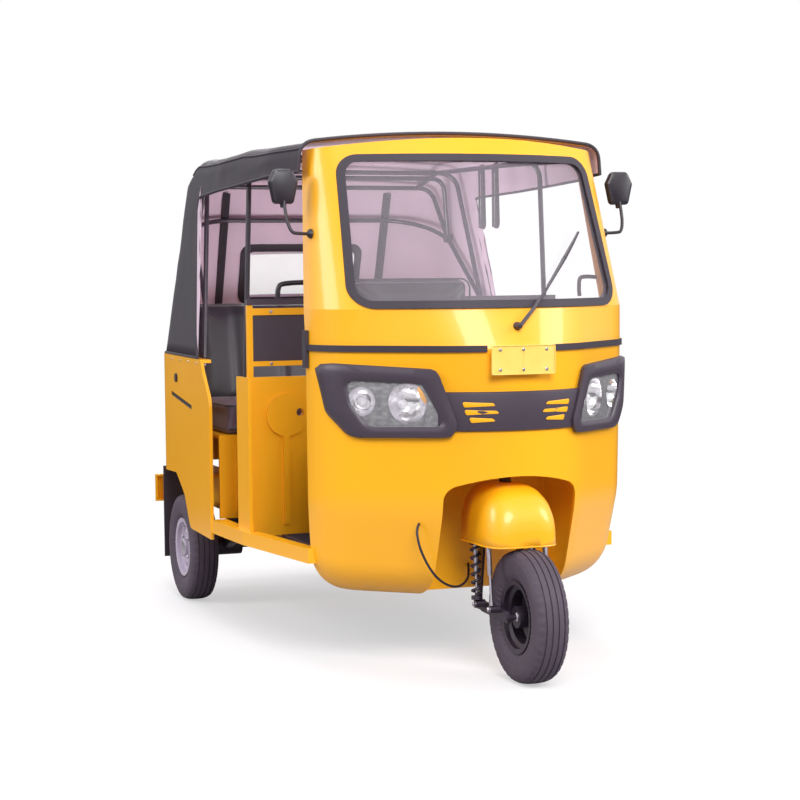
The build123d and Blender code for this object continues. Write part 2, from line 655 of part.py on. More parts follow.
def rear_bumper():
    back = REAR_Y - TAIL_OUT - FRONT_AXLE_Y
    plan = rounded([(-BUMPER_HALF, back - BUMPER_DEPTH, 0), (BUMPER_HALF, back - BUMPER_DEPTH, 0),
                    (BUMPER_HALF, back, 30), (-BUMPER_HALF, back, 30)])
    inner = rounded([(-BUMPER_HALF + 8, back - BUMPER_DEPTH - 20, 0), (BUMPER_HALF - 8, back - BUMPER_DEPTH - 20, 0),
                     (BUMPER_HALF - 8, back - 8, 22), (-BUMPER_HALF + 8, back - 8, 22)])
    bumper = along_z(plan, *BUMPER_Z) - along_z(inner, BUMPER_Z[0] + 8, BUMPER_Z[1] - 8)
    for side in (-1, 1):
        low, high = sorted((side * (BAY_HALF), side * (BAY_HALF + PANEL)))
        bumper += block((low, high), (behind(TUB_REAR - PANEL), behind(back - 8)), (BUMPER_Z[0] + 5, BUMPER_Z[1] - 5))
    eye_station, eye_z = back - TOW_LUG_HALF, BUMPER_Z[0] - TOW_DROP
    lug = block((-TOW_THICK / 2, TOW_THICK / 2), (behind(back - 2 * TOW_LUG_HALF), behind(back)),
                (eye_z - TOW_LUG_HALF, BUMPER_Z[0] + 8))
    lug = fillet(lug.edges().filter_by(Axis.X).group_by(Axis.Z)[0], TOW_LUG_HALF - 1)
    return bumper + lug - disc(-TOW_THICK, TOW_THICK, eye_station, eye_z, TOW_R)


def tail_lamps():
    x0, x1, z0, z1 = TAIL
    return pair(block((x0, x1), (REAR_Y - TAIL_OUT, REAR_Y), (z0, z1)))


FLAP_X = (500, 592)
FLAP_LOW_Z, FLAP_THICK = 130.0, 6.0


def mud_flaps():
    tyre_back = WHEELBASE + TYRE_R
    front = tyre_back + 0.45 * (TUB_REAR - tyre_back)
    flap = block(FLAP_X, (behind(front), behind(front + FLAP_THICK)), (FLAP_LOW_Z, SHELF_Z))
    wall = along_z(tub_plan(0, TUB_FRONT), TUB_LOW_Z, DECK_Z) - along_z(tub_plan(PANEL, TUB_FRONT - 40), 300, 1000)
    return pair(flap - (wall & along_x(rounded(QUARTER), FLAP_X[0] - 10, TUB_HALF)))


# ---------------------------------------------------------------- hood
HOOD_THICK = 8.0
HOOD_FRONT = 585.0
HOOD_TOP_HALF = 575.0
HOOD_SLOPE = 235.0                  # how far the rear leans forward
HOOD_CROWN_Z, HOOD_SIDE_Z = 1740.0, 1704.0
HOOD_SHOULDER = 75.0
HOOD_REAR = TUB_REAR - 5
# plan of the hood at two heights: z, half width at the front, at the rear, station of the rear, corner radius
HOOD_PLANS = ((DECK_Z, TUB_HALF - 2, TUB_REAR_HALF - 2, HOOD_REAR, 215), (1640, 575, 513, HOOD_REAR - HOOD_SLOPE, 200))
# side view of the roof and rear: station, z, corner radius
HOOD_ROOF = ((1500, 1760, 0), (HOOD_REAR - 540, 1745, 300), (HOOD_REAR - HOOD_SLOPE, 1640, 110), (HOOD_REAR, DECK_Z, 0))
# lower edge: rear panel, front hem of the side panel, top of the side opening
HOOD_HEM = ((1605, DECK_Z, 0), (1775, 1562, 60), (1200, 1578, 0), (HOOD_FRONT, 1600, 0))
WINDOW = (240, 1172, 1374)          # rear window half width, z from, to
TUBE_R = 9.0


def hood_front_view(inset):
    half, low_z = HOOD_TOP_HALF - inset, DECK_Z - 100
    crown, side = HOOD_CROWN_Z - inset, HOOD_SIDE_Z - inset
    wide = half + 100
    edges = [
        Line((-wide, low_z), (-wide, 1500)), Line((-wide, 1500), (-half, 1560)), Line((-half, 1560), (-half + 8, side)),
        ThreePointArc((-half + 8, side), (0, crown), (half - 8, side)),
        Line((half - 8, side), (half, 1560)), Line((half, 1560), (wide, 1500)), Line((wide, 1500), (wide, low_z)),
        Line((wide, low_z), (-wide, low_z)),
    ]
    face = make_face(edges)
    for s in (-1, 1):
        face = fillet(face.vertices().sort_by_distance((s * (half - 8), side, 0))[0], HOOD_SHOULDER - inset)
    return face


def hood_side_view(inset):
    roof = [(s - inset * (s > HOOD_REAR - 500), z - inset, r) for s, z, r in HOOD_ROOF]
    if inset:
        ends = [(HOOD_FRONT - 50, 900, 0), (HOOD_FRONT - 50, HOOD_ROOF[0][1], 0)]
        return rounded(ends + roof + [(HOOD_REAR - inset, 900, 0)])
    return rounded([(HOOD_FRONT, HOOD_ROOF[0][1], 0)] + roof + list(HOOD_HEM))


def hood_plan(inset, z):
    """Plan of the hood at height z, on the line through the two plans of the table."""
    (low_z, *low), (high_z, *high) = HOOD_PLANS
    share = (z - low_z) / (high_z - low_z)
    wide, narrow, rear, corner = (a + (b - a) * share - inset for a, b in zip(low, high))
    front = HOOD_FRONT - 60
    face = rounded([(-wide, front, 0), (wide, front, 0), (wide, TUB_FRONT, 0), (narrow, rear, corner),
                    (-narrow, rear, corner), (-wide, TUB_FRONT, 0)])
    return Plane(origin=(0, FRONT_AXLE_Y, z)) * face


@cache
def hood_solid(inset):
    solid = Part() + loft([hood_plan(inset, DECK_Z - 60), hood_plan(inset, HOOD_CROWN_Z + 40)], ruled=True)
    solid &= along_y(hood_front_view(inset), HOOD_FRONT - 80, TUB_REAR + 20)
    return solid & along_x(hood_side_view(inset), -TUB_HALF - 60, TUB_HALF + 60)


def window_cut():
    half, low, high = WINDOW
    face = rounded([(-half, low, 30), (half, low, 30), (half, high, 30), (-half, high, 30)])
    return along_y(face, HOOD_REAR - 400, HOOD_REAR + 100)


def hood_canopy():
    return hood_solid(0.0) - hood_solid(HOOD_THICK) - window_cut()


def rear_window():
    skin = along_x(hood_side_view(3.0), -300, 300) - along_x(hood_side_view(5.5), -300, 300)
    return skin & window_cut()


# bows: foot station and z, top station and z, half width at the foot and at the top
BOWS = (
    (PARTITION + 60, 860, PARTITION + 60, 1680, 579, 552),
    (1640, DECK_Z + 2, 1830, 1668, 585, 510),
)
# rear bows from the common pivot: station and z of the top, half width there, bend radius
STAYS = (
    (HOOD_REAR - 495, 1650, 490, 60), (HOOD_REAR - 350, 1618, 490, 60), (HOOD_REAR - 214, 1490, 480, 200),
)
STAY_PIVOT = (HOOD_REAR - 440, 1410)
STAY_HALF = 530.0
BRACE_FOOT = (564, 1694, 1163)      # where the brace from the pivot meets the second bow
RAIL_HALF_GAP = 430.0               # roof rails, each side of the middle
ROOF_RAIL = ((660, 1650), (PARTITION + 60, 1662), (1830, 1668), (HOOD_REAR - 350, 1618))
STRAPS = (1240, 1370)               # grab loops under the left rail
STRAP_LOW_Z = 1440.0


def hood_frame():
    tubes = []
    for foot_s, foot_z, top_s, top_z, foot_x, top_x in BOWS:
        points = [(-foot_x, foot_s, foot_z), (-top_x, top_s, top_z), (top_x, top_s, top_z), (foot_x, foot_s, foot_z)]
        tubes.append(tube(points, TUBE_R, 70))
    station, z = STAY_PIVOT
    for top_s, top_z, top_x, bend in STAYS:
        points = [(-STAY_HALF, station, z), (-top_x, top_s, top_z), (top_x, top_s, top_z), (STAY_HALF, station, z)]
        tubes.append(tube(points, TUBE_R, bend))
    frame = tubes[0]
    for one in tubes[1:]:
        frame += one
    for side in (-1, 1):
        for start, end in zip(ROOF_RAIL, ROOF_RAIL[1:]):
            frame += rod((side * RAIL_HALF_GAP, *start), (side * RAIL_HALF_GAP, *end), TUBE_R)
        frame += disc(side * (STAY_HALF - 14), side * (STAY_HALF + 14), station, z, 16)
        foot_x, foot_s, foot_z = BRACE_FOOT
        frame += rod((side * STAY_HALF, station, z), (side * foot_x, foot_s, foot_z), TUBE_R)
    for station in STRAPS:
        loop = block((RAIL_HALF_GAP - 3, RAIL_HALF_GAP + 3), (behind(station - 22), behind(station + 22)),
                     (STRAP_LOW_Z, 1664))
        loop -= block((RAIL_HALF_GAP - 5, RAIL_HALF_GAP + 5), (behind(station - 14), behind(station + 14)),
                      (STRAP_LOW_Z + 8, 1640))
        frame += loop
    return frame


# ---------------------------------------------------------------- cab fittings
DASH = (270, 955, 1000)             # station of the rear edge, z from, to
DASH_WALL = 14.0


def dashboard():
    """Shallow shelf with a closed top and rear, open underneath."""
    rear, low, high = DASH
    shelf = block((-520, 520), (behind(FRONT_CUT), behind(rear)), (low, high)) & cab_solid(-PANEL)
    hollow = block((-520, 520), (behind(FRONT_CUT), behind(rear - DASH_WALL)), (low - 5, high - DASH_WALL))
    return shelf - (hollow & cab_solid(-PANEL - DASH_WALL))


def wiper():
    pivot = (0, cab_front(0, 1105, 24), 1105)
    middle = (150, cab_front(150, 1240, 26), 1240)
    tip = (330, cab_front(330, 1400, 22), 1400)
    arm = rod((0, cab_front(0, 1105, 4), 1105), pivot, 8) + rod(pivot, middle, 4)
    return arm + tube([pivot, middle, tip], 5, 300)


MIRROR_X, MIRROR_STATION, MIRROR_Z = 600.0, 565.0, 1550.0
MIRROR_HALF, MIRROR_TALL, MIRROR_DEPTH = 50.0, 60.0, 34.0
MIRROR_FOOT = (520, 520, 1401)


def mirrors():
    foot = MIRROR_FOOT
    stalk = tube([foot, (588, 515, 1404), (600, 548, 1490), (600, MIRROR_STATION, 1530)], 5.5, 18)
    head = rounded([(MIRROR_X - MIRROR_HALF, MIRROR_Z + 20, 14), (MIRROR_X - 30, MIRROR_Z + MIRROR_TALL, 14),
                    (MIRROR_X + 30, MIRROR_Z + MIRROR_TALL, 14), (MIRROR_X + MIRROR_HALF, MIRROR_Z + 20, 14),
                    (MIRROR_X + 34, MIRROR_Z - 52, 14), (MIRROR_X - 34, MIRROR_Z - 52, 14)])
    head = along_y(head, MIRROR_STATION - MIRROR_DEPTH / 2, MIRROR_STATION + MIRROR_DEPTH / 2)
    return pair((stalk + head) - cab_solid(0.0, upper=True))


# ---------------------------------------------------------------- steering and front suspension
COLUMN_R = 19.0
COLUMN_TOP_Z = 940.0
GUARD_HALF = 120.0
GUARD_WALL = 5.0
GUARD_LOW_Z, GUARD_TOP_Z = 421.0, 612.0
GUARD_FRONT, GUARD_REAR = -8.0, 250.0
GUARD_CREST_R, GUARD_NOSE_R = 100.0, 90.0     # rounding along the top and round the front
CROWN_Z = (436.0, 474.0)
CROWN_S = (64.0, 225.0)
CROWN_CORNER = 60.0
LEG_X, LEG_HALF = TYRE_HALF + 12, 4.0
FRONT_AXLE_R = 9.0
DAMPER_X = LEG_X + 30


def guard_solid(inset):
    half, top = GUARD_HALF - inset, GUARD_TOP_Z - inset
    front, rear = GUARD_FRONT + inset, GUARD_REAR + 40 * bool(inset)
    low = GUARD_LOW_Z - 40 * bool(inset)
    side = make_face([
        Line((front, low), (front + 8, GUARD_LOW_Z + 70)),
        ThreePointArc((front + 8, GUARD_LOW_Z + 70), (front + 42, top - 38), (front + 130, top)),
        Line((front + 130, top), (rear, top - 4)), Line((rear, top - 4), (rear, low)), Line((rear, low), (front, low)),
    ])
    crest, nose = GUARD_CREST_R - inset, GUARD_NOSE_R - inset
    front_view = rounded([(-half, low, 0), (half, low, 0), (half, top, crest), (-half, top, crest)])
    plan = rounded([(-half, front - 1, nose), (half, front - 1, nose), (half, rear, 0), (-half, rear, 0)])
    solid = along_x(side, -half - 1, half + 1)
    solid &= along_y(front_view, front - 5, rear)
    return solid & along_z(plan, low, top)


def front_mudguard():
    guard = guard_solid(0.0) - guard_solid(GUARD_WALL)
    return guard - rod((0, steer_station(500), 500), (0, steer_station(700), 700), COLUMN_R + 1)


def steering_fork():
    """Column, crown inside the mudguard, two bent legs, leading links and the front axle."""
    low, high = CROWN_Z
    half = GUARD_HALF - GUARD_WALL
    crown = block((-half, half), (behind(CROWN_S[0]), behind(CROWN_S[1])), (low, high))
    fork = fillet(crown.edges().filter_by(Axis.Z).group_by(Axis.Y)[0], CROWN_CORNER)
    fork += rod((0, steer_station(high - 10), high - 10), (0, steer_station(COLUMN_TOP_Z), COLUMN_TOP_Z), COLUMN_R)
    for side in (-1, 1):
        x0, x1 = sorted((side * (LEG_X - LEG_HALF), side * (LEG_X + LEG_HALF)))
        leg = along_x(make_face(Polyline((180, low + 5), (222, low + 5), (250, 250), (250, 200), (216, 200), (212, 260),
                                         close=True)), x0, x1)
        link = along_x(make_face(Polyline((240, 205), (240, 232), (0, 226), (-18, 208), (0, 190), (200, 196), close=True)),
                       x0, x1)
        fork += leg + link
    fork += rod((-LEG_X - LEG_HALF - 6, 0, TYRE_R), (LEG_X + LEG_HALF + 6, 0, TYRE_R), FRONT_AXLE_R)
    return fork


def front_springs():
    units = []
    for side in (-1, 1):
        x = side * DAMPER_X
        unit = rod((x, 195, CROWN_Z[0] - 2), (x, 178, 240), 19)
        unit += rod((side * (LEG_X + LEG_HALF), 178, 226), (side * (DAMPER_X + 8), 178, 226), 15)
        unit += rod((x, 85, CROWN_Z[0] - 2), (x, 60, 236), 8)
        unit += rod((side * (LEG_X + LEG_HALF), 60, 226), (side * (DAMPER_X + 8), 60, 226), 12)
        units.append(unit)
    return units


GRIP_R = 15.0
BAR_R = 11.0
BAR_HALF = 305.0
BAR_SWEEP = 125.0


def handlebar():
    station, low = steer_station(COLUMN_TOP_Z), COLUMN_TOP_Z
    hub = rod((0, station, low), (0, steer_station(low + 46), low + 46), 34)
    middle = (0, station + 12, low + 24)
    knee = (100, station + BAR_SWEEP * 0.3, low + 42)
    tip = (BAR_HALF, station + BAR_SWEEP, low + 42)
    grip_start = Vector(*knee) + (Vector(*tip) - Vector(*knee)) * 0.45
    for side in (-1, 1):
        ends = [(side * x, s, z) for x, s, z in (middle, knee, tip)]
        hub += tube(ends, BAR_R, 40)
        hub += rod((side * grip_start.X, grip_start.Y, grip_start.Z), (side * tip[0], tip[1], tip[2]), GRIP_R)
    return hub


# ---------------------------------------------------------------- wheels
HUB_R = 34.0
RIM_FLANGE = 12.0
RIM_HALF = 44.0
DISC_X = 12.0
BEAD_HALF = 36.0


def tyre_solid():
    flange, half = RIM_R + RIM_FLANGE + 4, TYRE_HALF
    side = ((BEAD_HALF, RIM_R + 1), (BEAD_HALF + 1, flange), (half - 3, flange + 20), (half, 165), (half - 3, TYRE_R - 20),
            (TREAD_HALF, TYRE_R - 8), (TREAD_HALF - 16, TYRE_R - 2), (TREAD_HALF - 34, TYRE_R))
    profile = list(side) + [(-x, r) for x, r in reversed(side)]
    return revolve(make_face(Polyline(*profile, close=True)), axis=Axis.X)


def rim_solid(bore):
    r = RIM_R
    barrel = make_face(Polyline((-RIM_HALF, r + RIM_FLANGE), (-RIM_HALF + 4, r + RIM_FLANGE), (-38.5, r + 0.6), (-30, r + 0.6),
                                (-24, r - 14), (24, r - 14), (30, r + 0.6), (38.5, r + 0.6), (RIM_HALF - 4, r + RIM_FLANGE),
                                (RIM_HALF, r + RIM_FLANGE), (RIM_HALF - 2, r - 3), (28, r - 4), (22, r - 18), (-22, r - 18),
                                (-28, r - 4), (-RIM_HALF + 2, r - 3), close=True))
    plate = make_face(Polyline((DISC_X, r - 16), (DISC_X + 5, r - 16), (DISC_X + 17, 62), (DISC_X + 17, HUB_R - 4),
                               (DISC_X + 12, HUB_R - 4), (DISC_X + 12, 60), close=True))
    hub = make_face(Polyline((-40, bore), (40, bore), (40, HUB_R), (-40, HUB_R), close=True))
    return revolve(barrel, axis=Axis.X) + revolve(plate, axis=Axis.X) + revolve(hub, axis=Axis.X)


WHEELS = (                          # body name, x, station, side the dish faces, bore radius
    ("front", 0.0, 0.0, 1, FRONT_AXLE_R + FIT),
    ("rear_left", REAR_TRACK_HALF, WHEELBASE, 1, STUB_R + FIT),
    ("rear_right", -REAR_TRACK_HALF, WHEELBASE, -1, STUB_R + FIT),
)

# ---------------------------------------------------------------- front brake cable
CABLE_R = 4.0
# route: x, station, z, from the grommet in the cowl to a clip on the back wall of the wheel well
CABLE = (
    (-268, 214, 497), (-299, 180, 482), (-296, 171, 432), (-281, 172, 392), (-258, 176, 350), (-229, 184, 315),
    (-192, 204, 290), (-150, 236, 274), (-110, 276, 270), (-74, 320, 276), (-44, 368, 290), (-24, 424, 316),
)


def brake_cable():
    points = [Vector(x, behind(s), z) for x, s, z in CABLE]
    radii = []
    for before, here, after in zip(points, points[1:], points[2:]):
        turn = (here - before).get_angle(after - here)
        shorter = min((here - before).length, (after - here).length)
        radii.append(0.45 * shorter / tan(radians(turn / 2)))
    print("cable bend radii", [round(r) for r in radii])
    path = FilletPolyline(*points, radius=radii)
    return sweep(Plane(origin=path @ 0, z_dir=path % 0) * Circle(CABLE_R), path=path)


# ---------------------------------------------------------------- write one STEP file per node
NODES = {
    "front_cowl": front_cowl, "windscreen_frame": windscreen_frame, "windscreen_seal": windscreen_seal,
    "windscreen_glass": windscreen_glass, "belt_moulding": belt_moulding, "headlamp_bezels": headlamp_bezels,
    "headlamp_reflectors": headlamp_reflectors, "headlamp_lenses": headlamp_lenses, "front_grille": front_grille,
    "number_plate": number_plate, "dashboard": dashboard, "wiper": wiper, "mirrors": mirrors,
    "floor_pan": floor_pan, "side_sills": side_sills, "partition_panels": partition_panels,
    "partition_rails": partition_rails, "partition_screen": partition_screen,
    "driver_seat_base": driver_seat_base, "driver_seat_pads": driver_seat_pads, "seat_box": seat_box,
    "passenger_cushion": passenger_cushion, "passenger_backrest": passenger_backrest, "rear_tub": rear_tub,
    "side_trims": side_trims, "engine_block": engine_block, "rear_suspension": rear_suspension,
    "rear_bumper": rear_bumper, "tail_lamps": tail_lamps, "mud_flaps": mud_flaps,
    "hood_frame": hood_frame, "hood_canopy": hood_canopy, "rear_window": rear_window,
    "brake_cable": brake_cable, "engine_door": engine_door, "steering_fork": steering_fork,
    "front_springs": front_springs, "handlebar": handlebar, "front_mudguard": front_mudguard,
}


def write(name, made):
    shapes = made if isinstance(made, list) else [made]
    solids = [solid for shape in shapes for solid in shape.solids()]
    export_step(solids[0] if len(solids) == 1 else Compound(children=solids), f"parts/{name}.step")


os.makedirs("parts", exist_ok=True)
for name, make in NODES.items():
    write(name, make())
for name, x, station, facing, bore in WHEELS:
    place = Pos(x, behind(station), TYRE_R)
    if facing < 0:
        place = place * Rot(0, 0, 180)
    write(f"{name}_tyre", place * tyre_solid())
    write(f"{name}_rim", place * rim_solid(bore))
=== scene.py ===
"""Dresses the auto rickshaw's CAD frame: paint, hood, seats, lamps, tyres, fittings and a small studio."""
import json
import math

import bmesh
import bpy
from bpy.props import FloatProperty, FloatVectorProperty, IntProperty, PointerProperty
from mathutils import Matrix, Vector, noise


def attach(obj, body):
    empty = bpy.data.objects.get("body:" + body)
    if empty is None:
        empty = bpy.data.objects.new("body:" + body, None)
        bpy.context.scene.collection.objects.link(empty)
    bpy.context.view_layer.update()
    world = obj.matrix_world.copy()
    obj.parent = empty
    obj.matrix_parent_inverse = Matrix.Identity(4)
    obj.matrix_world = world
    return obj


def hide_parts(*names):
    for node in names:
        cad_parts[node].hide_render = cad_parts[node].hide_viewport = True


bl_info = {
    "name": "Auto Rickshaw Dressing",
    "version": (1, 0, 0),
    "blender": (4, 5, 0),
    "location": "View3D > Sidebar > Rickshaw",
    "description": "Paint, hood, seats, lamps, tyres and fittings around the rickshaw's frame",
    "category": "Object",
}

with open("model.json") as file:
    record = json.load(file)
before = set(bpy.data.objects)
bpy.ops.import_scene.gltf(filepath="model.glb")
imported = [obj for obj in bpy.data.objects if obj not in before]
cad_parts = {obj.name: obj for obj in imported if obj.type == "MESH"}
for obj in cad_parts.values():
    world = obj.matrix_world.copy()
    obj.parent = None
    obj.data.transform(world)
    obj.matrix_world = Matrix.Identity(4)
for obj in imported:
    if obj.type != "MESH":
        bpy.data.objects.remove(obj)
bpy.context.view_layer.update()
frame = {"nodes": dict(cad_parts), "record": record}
NODES = frame["nodes"]
FRONT_AXLE = -1.115                 # Y of the front axle in the frame
MM = 0.001
WHEELBASE, REAR_TRACK, AXLE = 1985.0, 550.0, 207.5      # in mm: the wheels' places, their axles' height
PIN_Z = 226                                             # height of the front links' pins


def at(x, station, z):
    """Point from millimetres: x, distance behind the front axle, height."""
    return Vector((x * MM, station * MM + FRONT_AXLE, z * MM))


def linear(code):
    """sRGB hex to the linear colour that shaders take."""
    values = [int(code[i:i + 2], 16) / 255 for i in (1, 3, 5)]
    return tuple(v / 12.92 if v <= 0.04045 else ((v + 0.055) / 1.055) ** 2.4 for v in values) + (1.0,)


# ------------------------------------------------------------------ sizes and colours a user may change
def shade(name, description, code):
    return FloatVectorProperty(name=name, description=description, default=linear(code), size=4,
                               subtype="COLOR", min=0.0, max=1.0)


class RickshawColours(bpy.types.PropertyGroup):
    body: shade("Body enamel", "Sprayed yellow of the cab and the tub", "#FFB30F")
    plastic: shade("Moulded plastic", "Lamp bezels and grille", "#3E3441")
    hood: shade("Hood cloth", "Outside of the hood", "#1E1422")
    lining: shade("Hood lining", "Inside of the hood", "#CDB6C8")
    seat: shade("Seat cover", "Coated cloth of the seats", "#17101C")
    tyre: shade("Tyre", "Rubber of the three tyres", "#4A3F4D")
    wheel: shade("Wheel enamel", "Pressed wheels and hub caps", "#BBAFC2")


class RickshawSizes(bpy.types.PropertyGroup):
    hood_sag: FloatProperty(name="Hood sag", description="How far the roof cloth hangs between two bows",
                            default=0.012, min=0.0, max=0.03, unit="LENGTH")
    hood_crease: FloatProperty(name="Hood creases", description="Height of the cloth's soft folds",
                               default=0.004, min=0.0, max=0.01, unit="LENGTH")
    seat_crown: FloatProperty(name="Seat crown", description="Most that a pad may swell", default=0.014,
                              min=0.0, max=0.03, unit="LENGTH")
    tread_depth: FloatProperty(name="Tread depth", description="Depth of the tyre's grooves", default=0.0045,
                               min=0.0, max=0.007, unit="LENGTH")
    coil_turns: IntProperty(name="Coil turns", description="Turns of the front spring", default=7,
                            min=3, max=12)


def colours():
    return bpy.context.scene.rickshaw_colours


def sizes():
    return bpy.context.scene.rickshaw_sizes


# ------------------------------------------------------------------ finishes
def add(tree, kind, sockets=None, **settings):
    """One shader node with its settings; each socket takes a value or a link."""
    made = tree.nodes.new(kind)
    for name, value in settings.items():
        setattr(made, name, value)
    for key, value in (sockets or {}).items():
        if isinstance(value, bpy.types.NodeSocket):
            tree.links.new(value, made.inputs[key])
        else:
            made.inputs[key].default_value = value
    return made


FINISHES = {}


def per(millimetres):
    """Noise or cell scale that gives features of this size in metres-sized coordinates."""
    return 1000.0 / millimetres


def tone(colour, factor):
    return tuple(min(1.0, c * factor) for c in colour[:3]) + (1.0,)


def cloud(size_mm, detail, **sockets):
    """Soft noise, for the table of finishes."""
    return "Noise", size_mm, {"Detail": detail, **sockets}, {}


def cells(size_mm, **settings):
    """Cells, for the table of finishes."""
    return "Voronoi", size_mm, {}, settings


HIDE, PRISMS = cells(5, feature="DISTANCE_TO_EDGE"), cells(9, distance="CHEBYCHEV")
ACRYLIC = dict(Roughness=0.12, IOR=1.49, Coat_Weight=0.5, Coat_Roughness=0.04)
THREAD_DEPTH, CREASE_SHARE = 0.8, 0.25

# shader constants; tones, as a colour of the panel with two factors or as two codes; the pattern between them;
# relief, as its pattern (None: the tones' own; a number: a weave of that thread), strength and depth in mm
RECIPES = {
    # two-pack enamel, sprayed and baked: deep gloss over a faint orange peel, tone drifting from panel to panel
    "enamel_sprayed_yellow": (dict(Roughness=0.42, Coat_Weight=0.35, Coat_Roughness=0.08, IOR=1.5),
                              ("body", 0.95, 1.03), cloud(420, 2.0), (cloud(7, 1.0), 0.05, 0.4)),
    # ABS, injection moulded with a fine spark grain that breaks up the highlight
    "abs_moulded_grained": (dict(Roughness=0.46, IOR=1.53),
                            ("plastic", 0.88, 1.1), cloud(60, 3.0), (cells(2.2), 0.25, 0.3)),
    # polypropylene, moulded black, a little waxy
    "polypropylene_moulded_black": (dict(Roughness=0.4, IOR=1.49),
                                    ("#1D1820", "#2C2530"), cloud(25, 4.0), (cells(3), 0.2, 0.3)),
    # EPDM, extruded: matt with faint drawing lines
    "epdm_extruded_black": (dict(Roughness=0.62, IOR=1.52),
                            ("#211A24", "#352B39"), cloud(5, 5.0, Roughness=0.7), (None, 0.25, 0.5)),
    # PVC-coated cloth: a woven base shows through the coat as a fine square net, with soft crease shading
    "pvc_coated_cloth_outside": (dict(Roughness=0.66, Sheen_Weight=0.04, Sheen_Roughness=0.4, IOR=1.5),
                                 ("hood", 0.75, 1.6), cloud(110, 5.0, Distortion=0.6),
                                 (6.0, 0.35, THREAD_DEPTH)),
    # brushed polyester lining, unprinted: pale, matt, ribbed by the weft
    "polyester_lining_brushed": (dict(Roughness=0.85, Sheen_Weight=0.3, Sheen_Roughness=0.5, IOR=1.5),
                                 ("lining", 0.86, 1.1), cloud(160, 3.0), (8.0, 0.25, THREAD_DEPTH)),
    # leathercloth, embossed with a hide grain
    "leathercloth_embossed_dark": (dict(Roughness=0.48, Sheen_Weight=0.15, IOR=1.5),
                                   ("seat", 0.8, 1.3), cloud(90, 4.0), (HIDE, 0.35, 0.6)),
    # the lighter leathercloth of the bench's cushion
    "leathercloth_embossed_grey": (dict(Roughness=0.5, Sheen_Weight=0.15, IOR=1.5),
                                   ("#4E4254", "#6C5F73"), cloud(90, 4.0), (HIDE, 0.35, 0.6)),
    # tyre rubber, cured in a mould: matt, a dusty bloom where it scuffs
    "tyre_rubber_cured": (dict(Roughness=0.72, IOR=1.52),
                          ("tyre", 0.62, 1.25), cloud(45, 6.0, Roughness=0.65), (cloud(4, 3.0), 0.3, 0.5)),
    # chassis enamel, dipped: black and a little uneven
    "steel_dipped_black": (dict(Roughness=0.4, Coat_Weight=0.2, Coat_Roughness=0.25),
                           ("#221B25", "#372C3B"), cloud(30, 5.0), (None, 0.15, 0.6)),
    # wheel enamel, sprayed over pressed steel
    "steel_sprayed_wheel": (dict(Roughness=0.4, Coat_Weight=0.3, Coat_Roughness=0.15),
                            ("wheel", 0.82, 1.06), cloud(50, 6.0), (None, 0.08, 0.4)),
    # zinc plate, passivated: bright, slightly blotched
    "steel_zinc_plated": (dict(Metallic=1.0, Roughness=0.32),
                          ("#A9A3AE", "#DAD6DE"), cloud(12, 5.0), (None, 0.12, 0.2)),
    # reflector, vacuum aluminised: a soft mirror with a dappled relief
    "reflector_aluminised": (dict(Metallic=1.0, Roughness=0.16),
                             ("#D9D6DC", "#F7F6F8"), cells(16), (None, 0.35, 2.0)),
    # mirror glass, silvered on its back
    "glass_silvered": (dict(Metallic=1.0, Roughness=0.03), ("#C9CDD2", "#E2E5E8"), cloud(30, 3.0), None),
    # laminated screen glass, float made: nearly clear with a faint grey-violet body
    "glass_float_screen": (dict(Roughness=0.02, IOR=1.52, Alpha=0.1),
                           ("#CFC6D2", "#E6E0E8"), cloud(300, 2.0), None),
    # lens, polycarbonate, moulded with upright flutes
    "polycarbonate_moulded_clear": (dict(Roughness=0.04, IOR=1.58, Alpha=0.16), ("#E9E6EC", "#FFFFFF"),
                                    ("Wave", 90, {}, {"bands_direction": "X"}), (None, 0.1, 0.6)),
    # window film, calendered PVC: clear with slow ripples
    "pvc_film_calendered": (dict(Roughness=0.08, IOR=1.53, Alpha=0.35),
                            ("#DCD2DC", "#F4EEF4"), cloud(120, 2.0), (None, 0.2, 3.0)),
    # tail lamp acrylic, moulded with small prisms
    "acrylic_moulded_red": (ACRYLIC, ("#6E0A10", "#B0161C"), PRISMS, (None, 0.3, 0.8)),
    "acrylic_moulded_amber": (ACRYLIC, ("#B4520C", "#E07A18"), PRISMS, (None, 0.3, 0.8)),
    "acrylic_moulded_white": (ACRYLIC, ("#C9C4CC", "#ECE8EE"), PRISMS, (None, 0.3, 0.8)),
    # blank registration plate, stamped aluminium in pale yellow enamel
    "aluminium_stamped_pale": (dict(Roughness=0.4, Coat_Weight=0.2, Coat_Roughness=0.2),
                               ("#F2C552", "#F8D678"), cloud(40, 4.0), (None, 0.1, 0.3)),
    # engine casing, sand-cast aluminium gone dull
    "aluminium_sand_cast": (dict(Metallic=0.7, Roughness=0.58),
                            ("#5E5A60", "#8E8990"), cloud(6, 5.0), (None, 0.5, 1.2)),
    # nylon strap, woven
    "nylon_woven_strap": (dict(Roughness=0.75, Sheen_Weight=0.3, IOR=1.53),
                          ("#1F1A22", "#332B37"), cloud(20, 3.0), (3.0, 0.4, THREAD_DEPTH)),
}


def texture(tree, place, kind, size_mm, sockets, settings):
    """First output of one texture node, whose features have this size."""
    sockets = {"Vector": place, "Scale": per(size_mm), **sockets}
    return add(tree, "ShaderNodeTex" + kind, sockets, **settings).outputs[0]


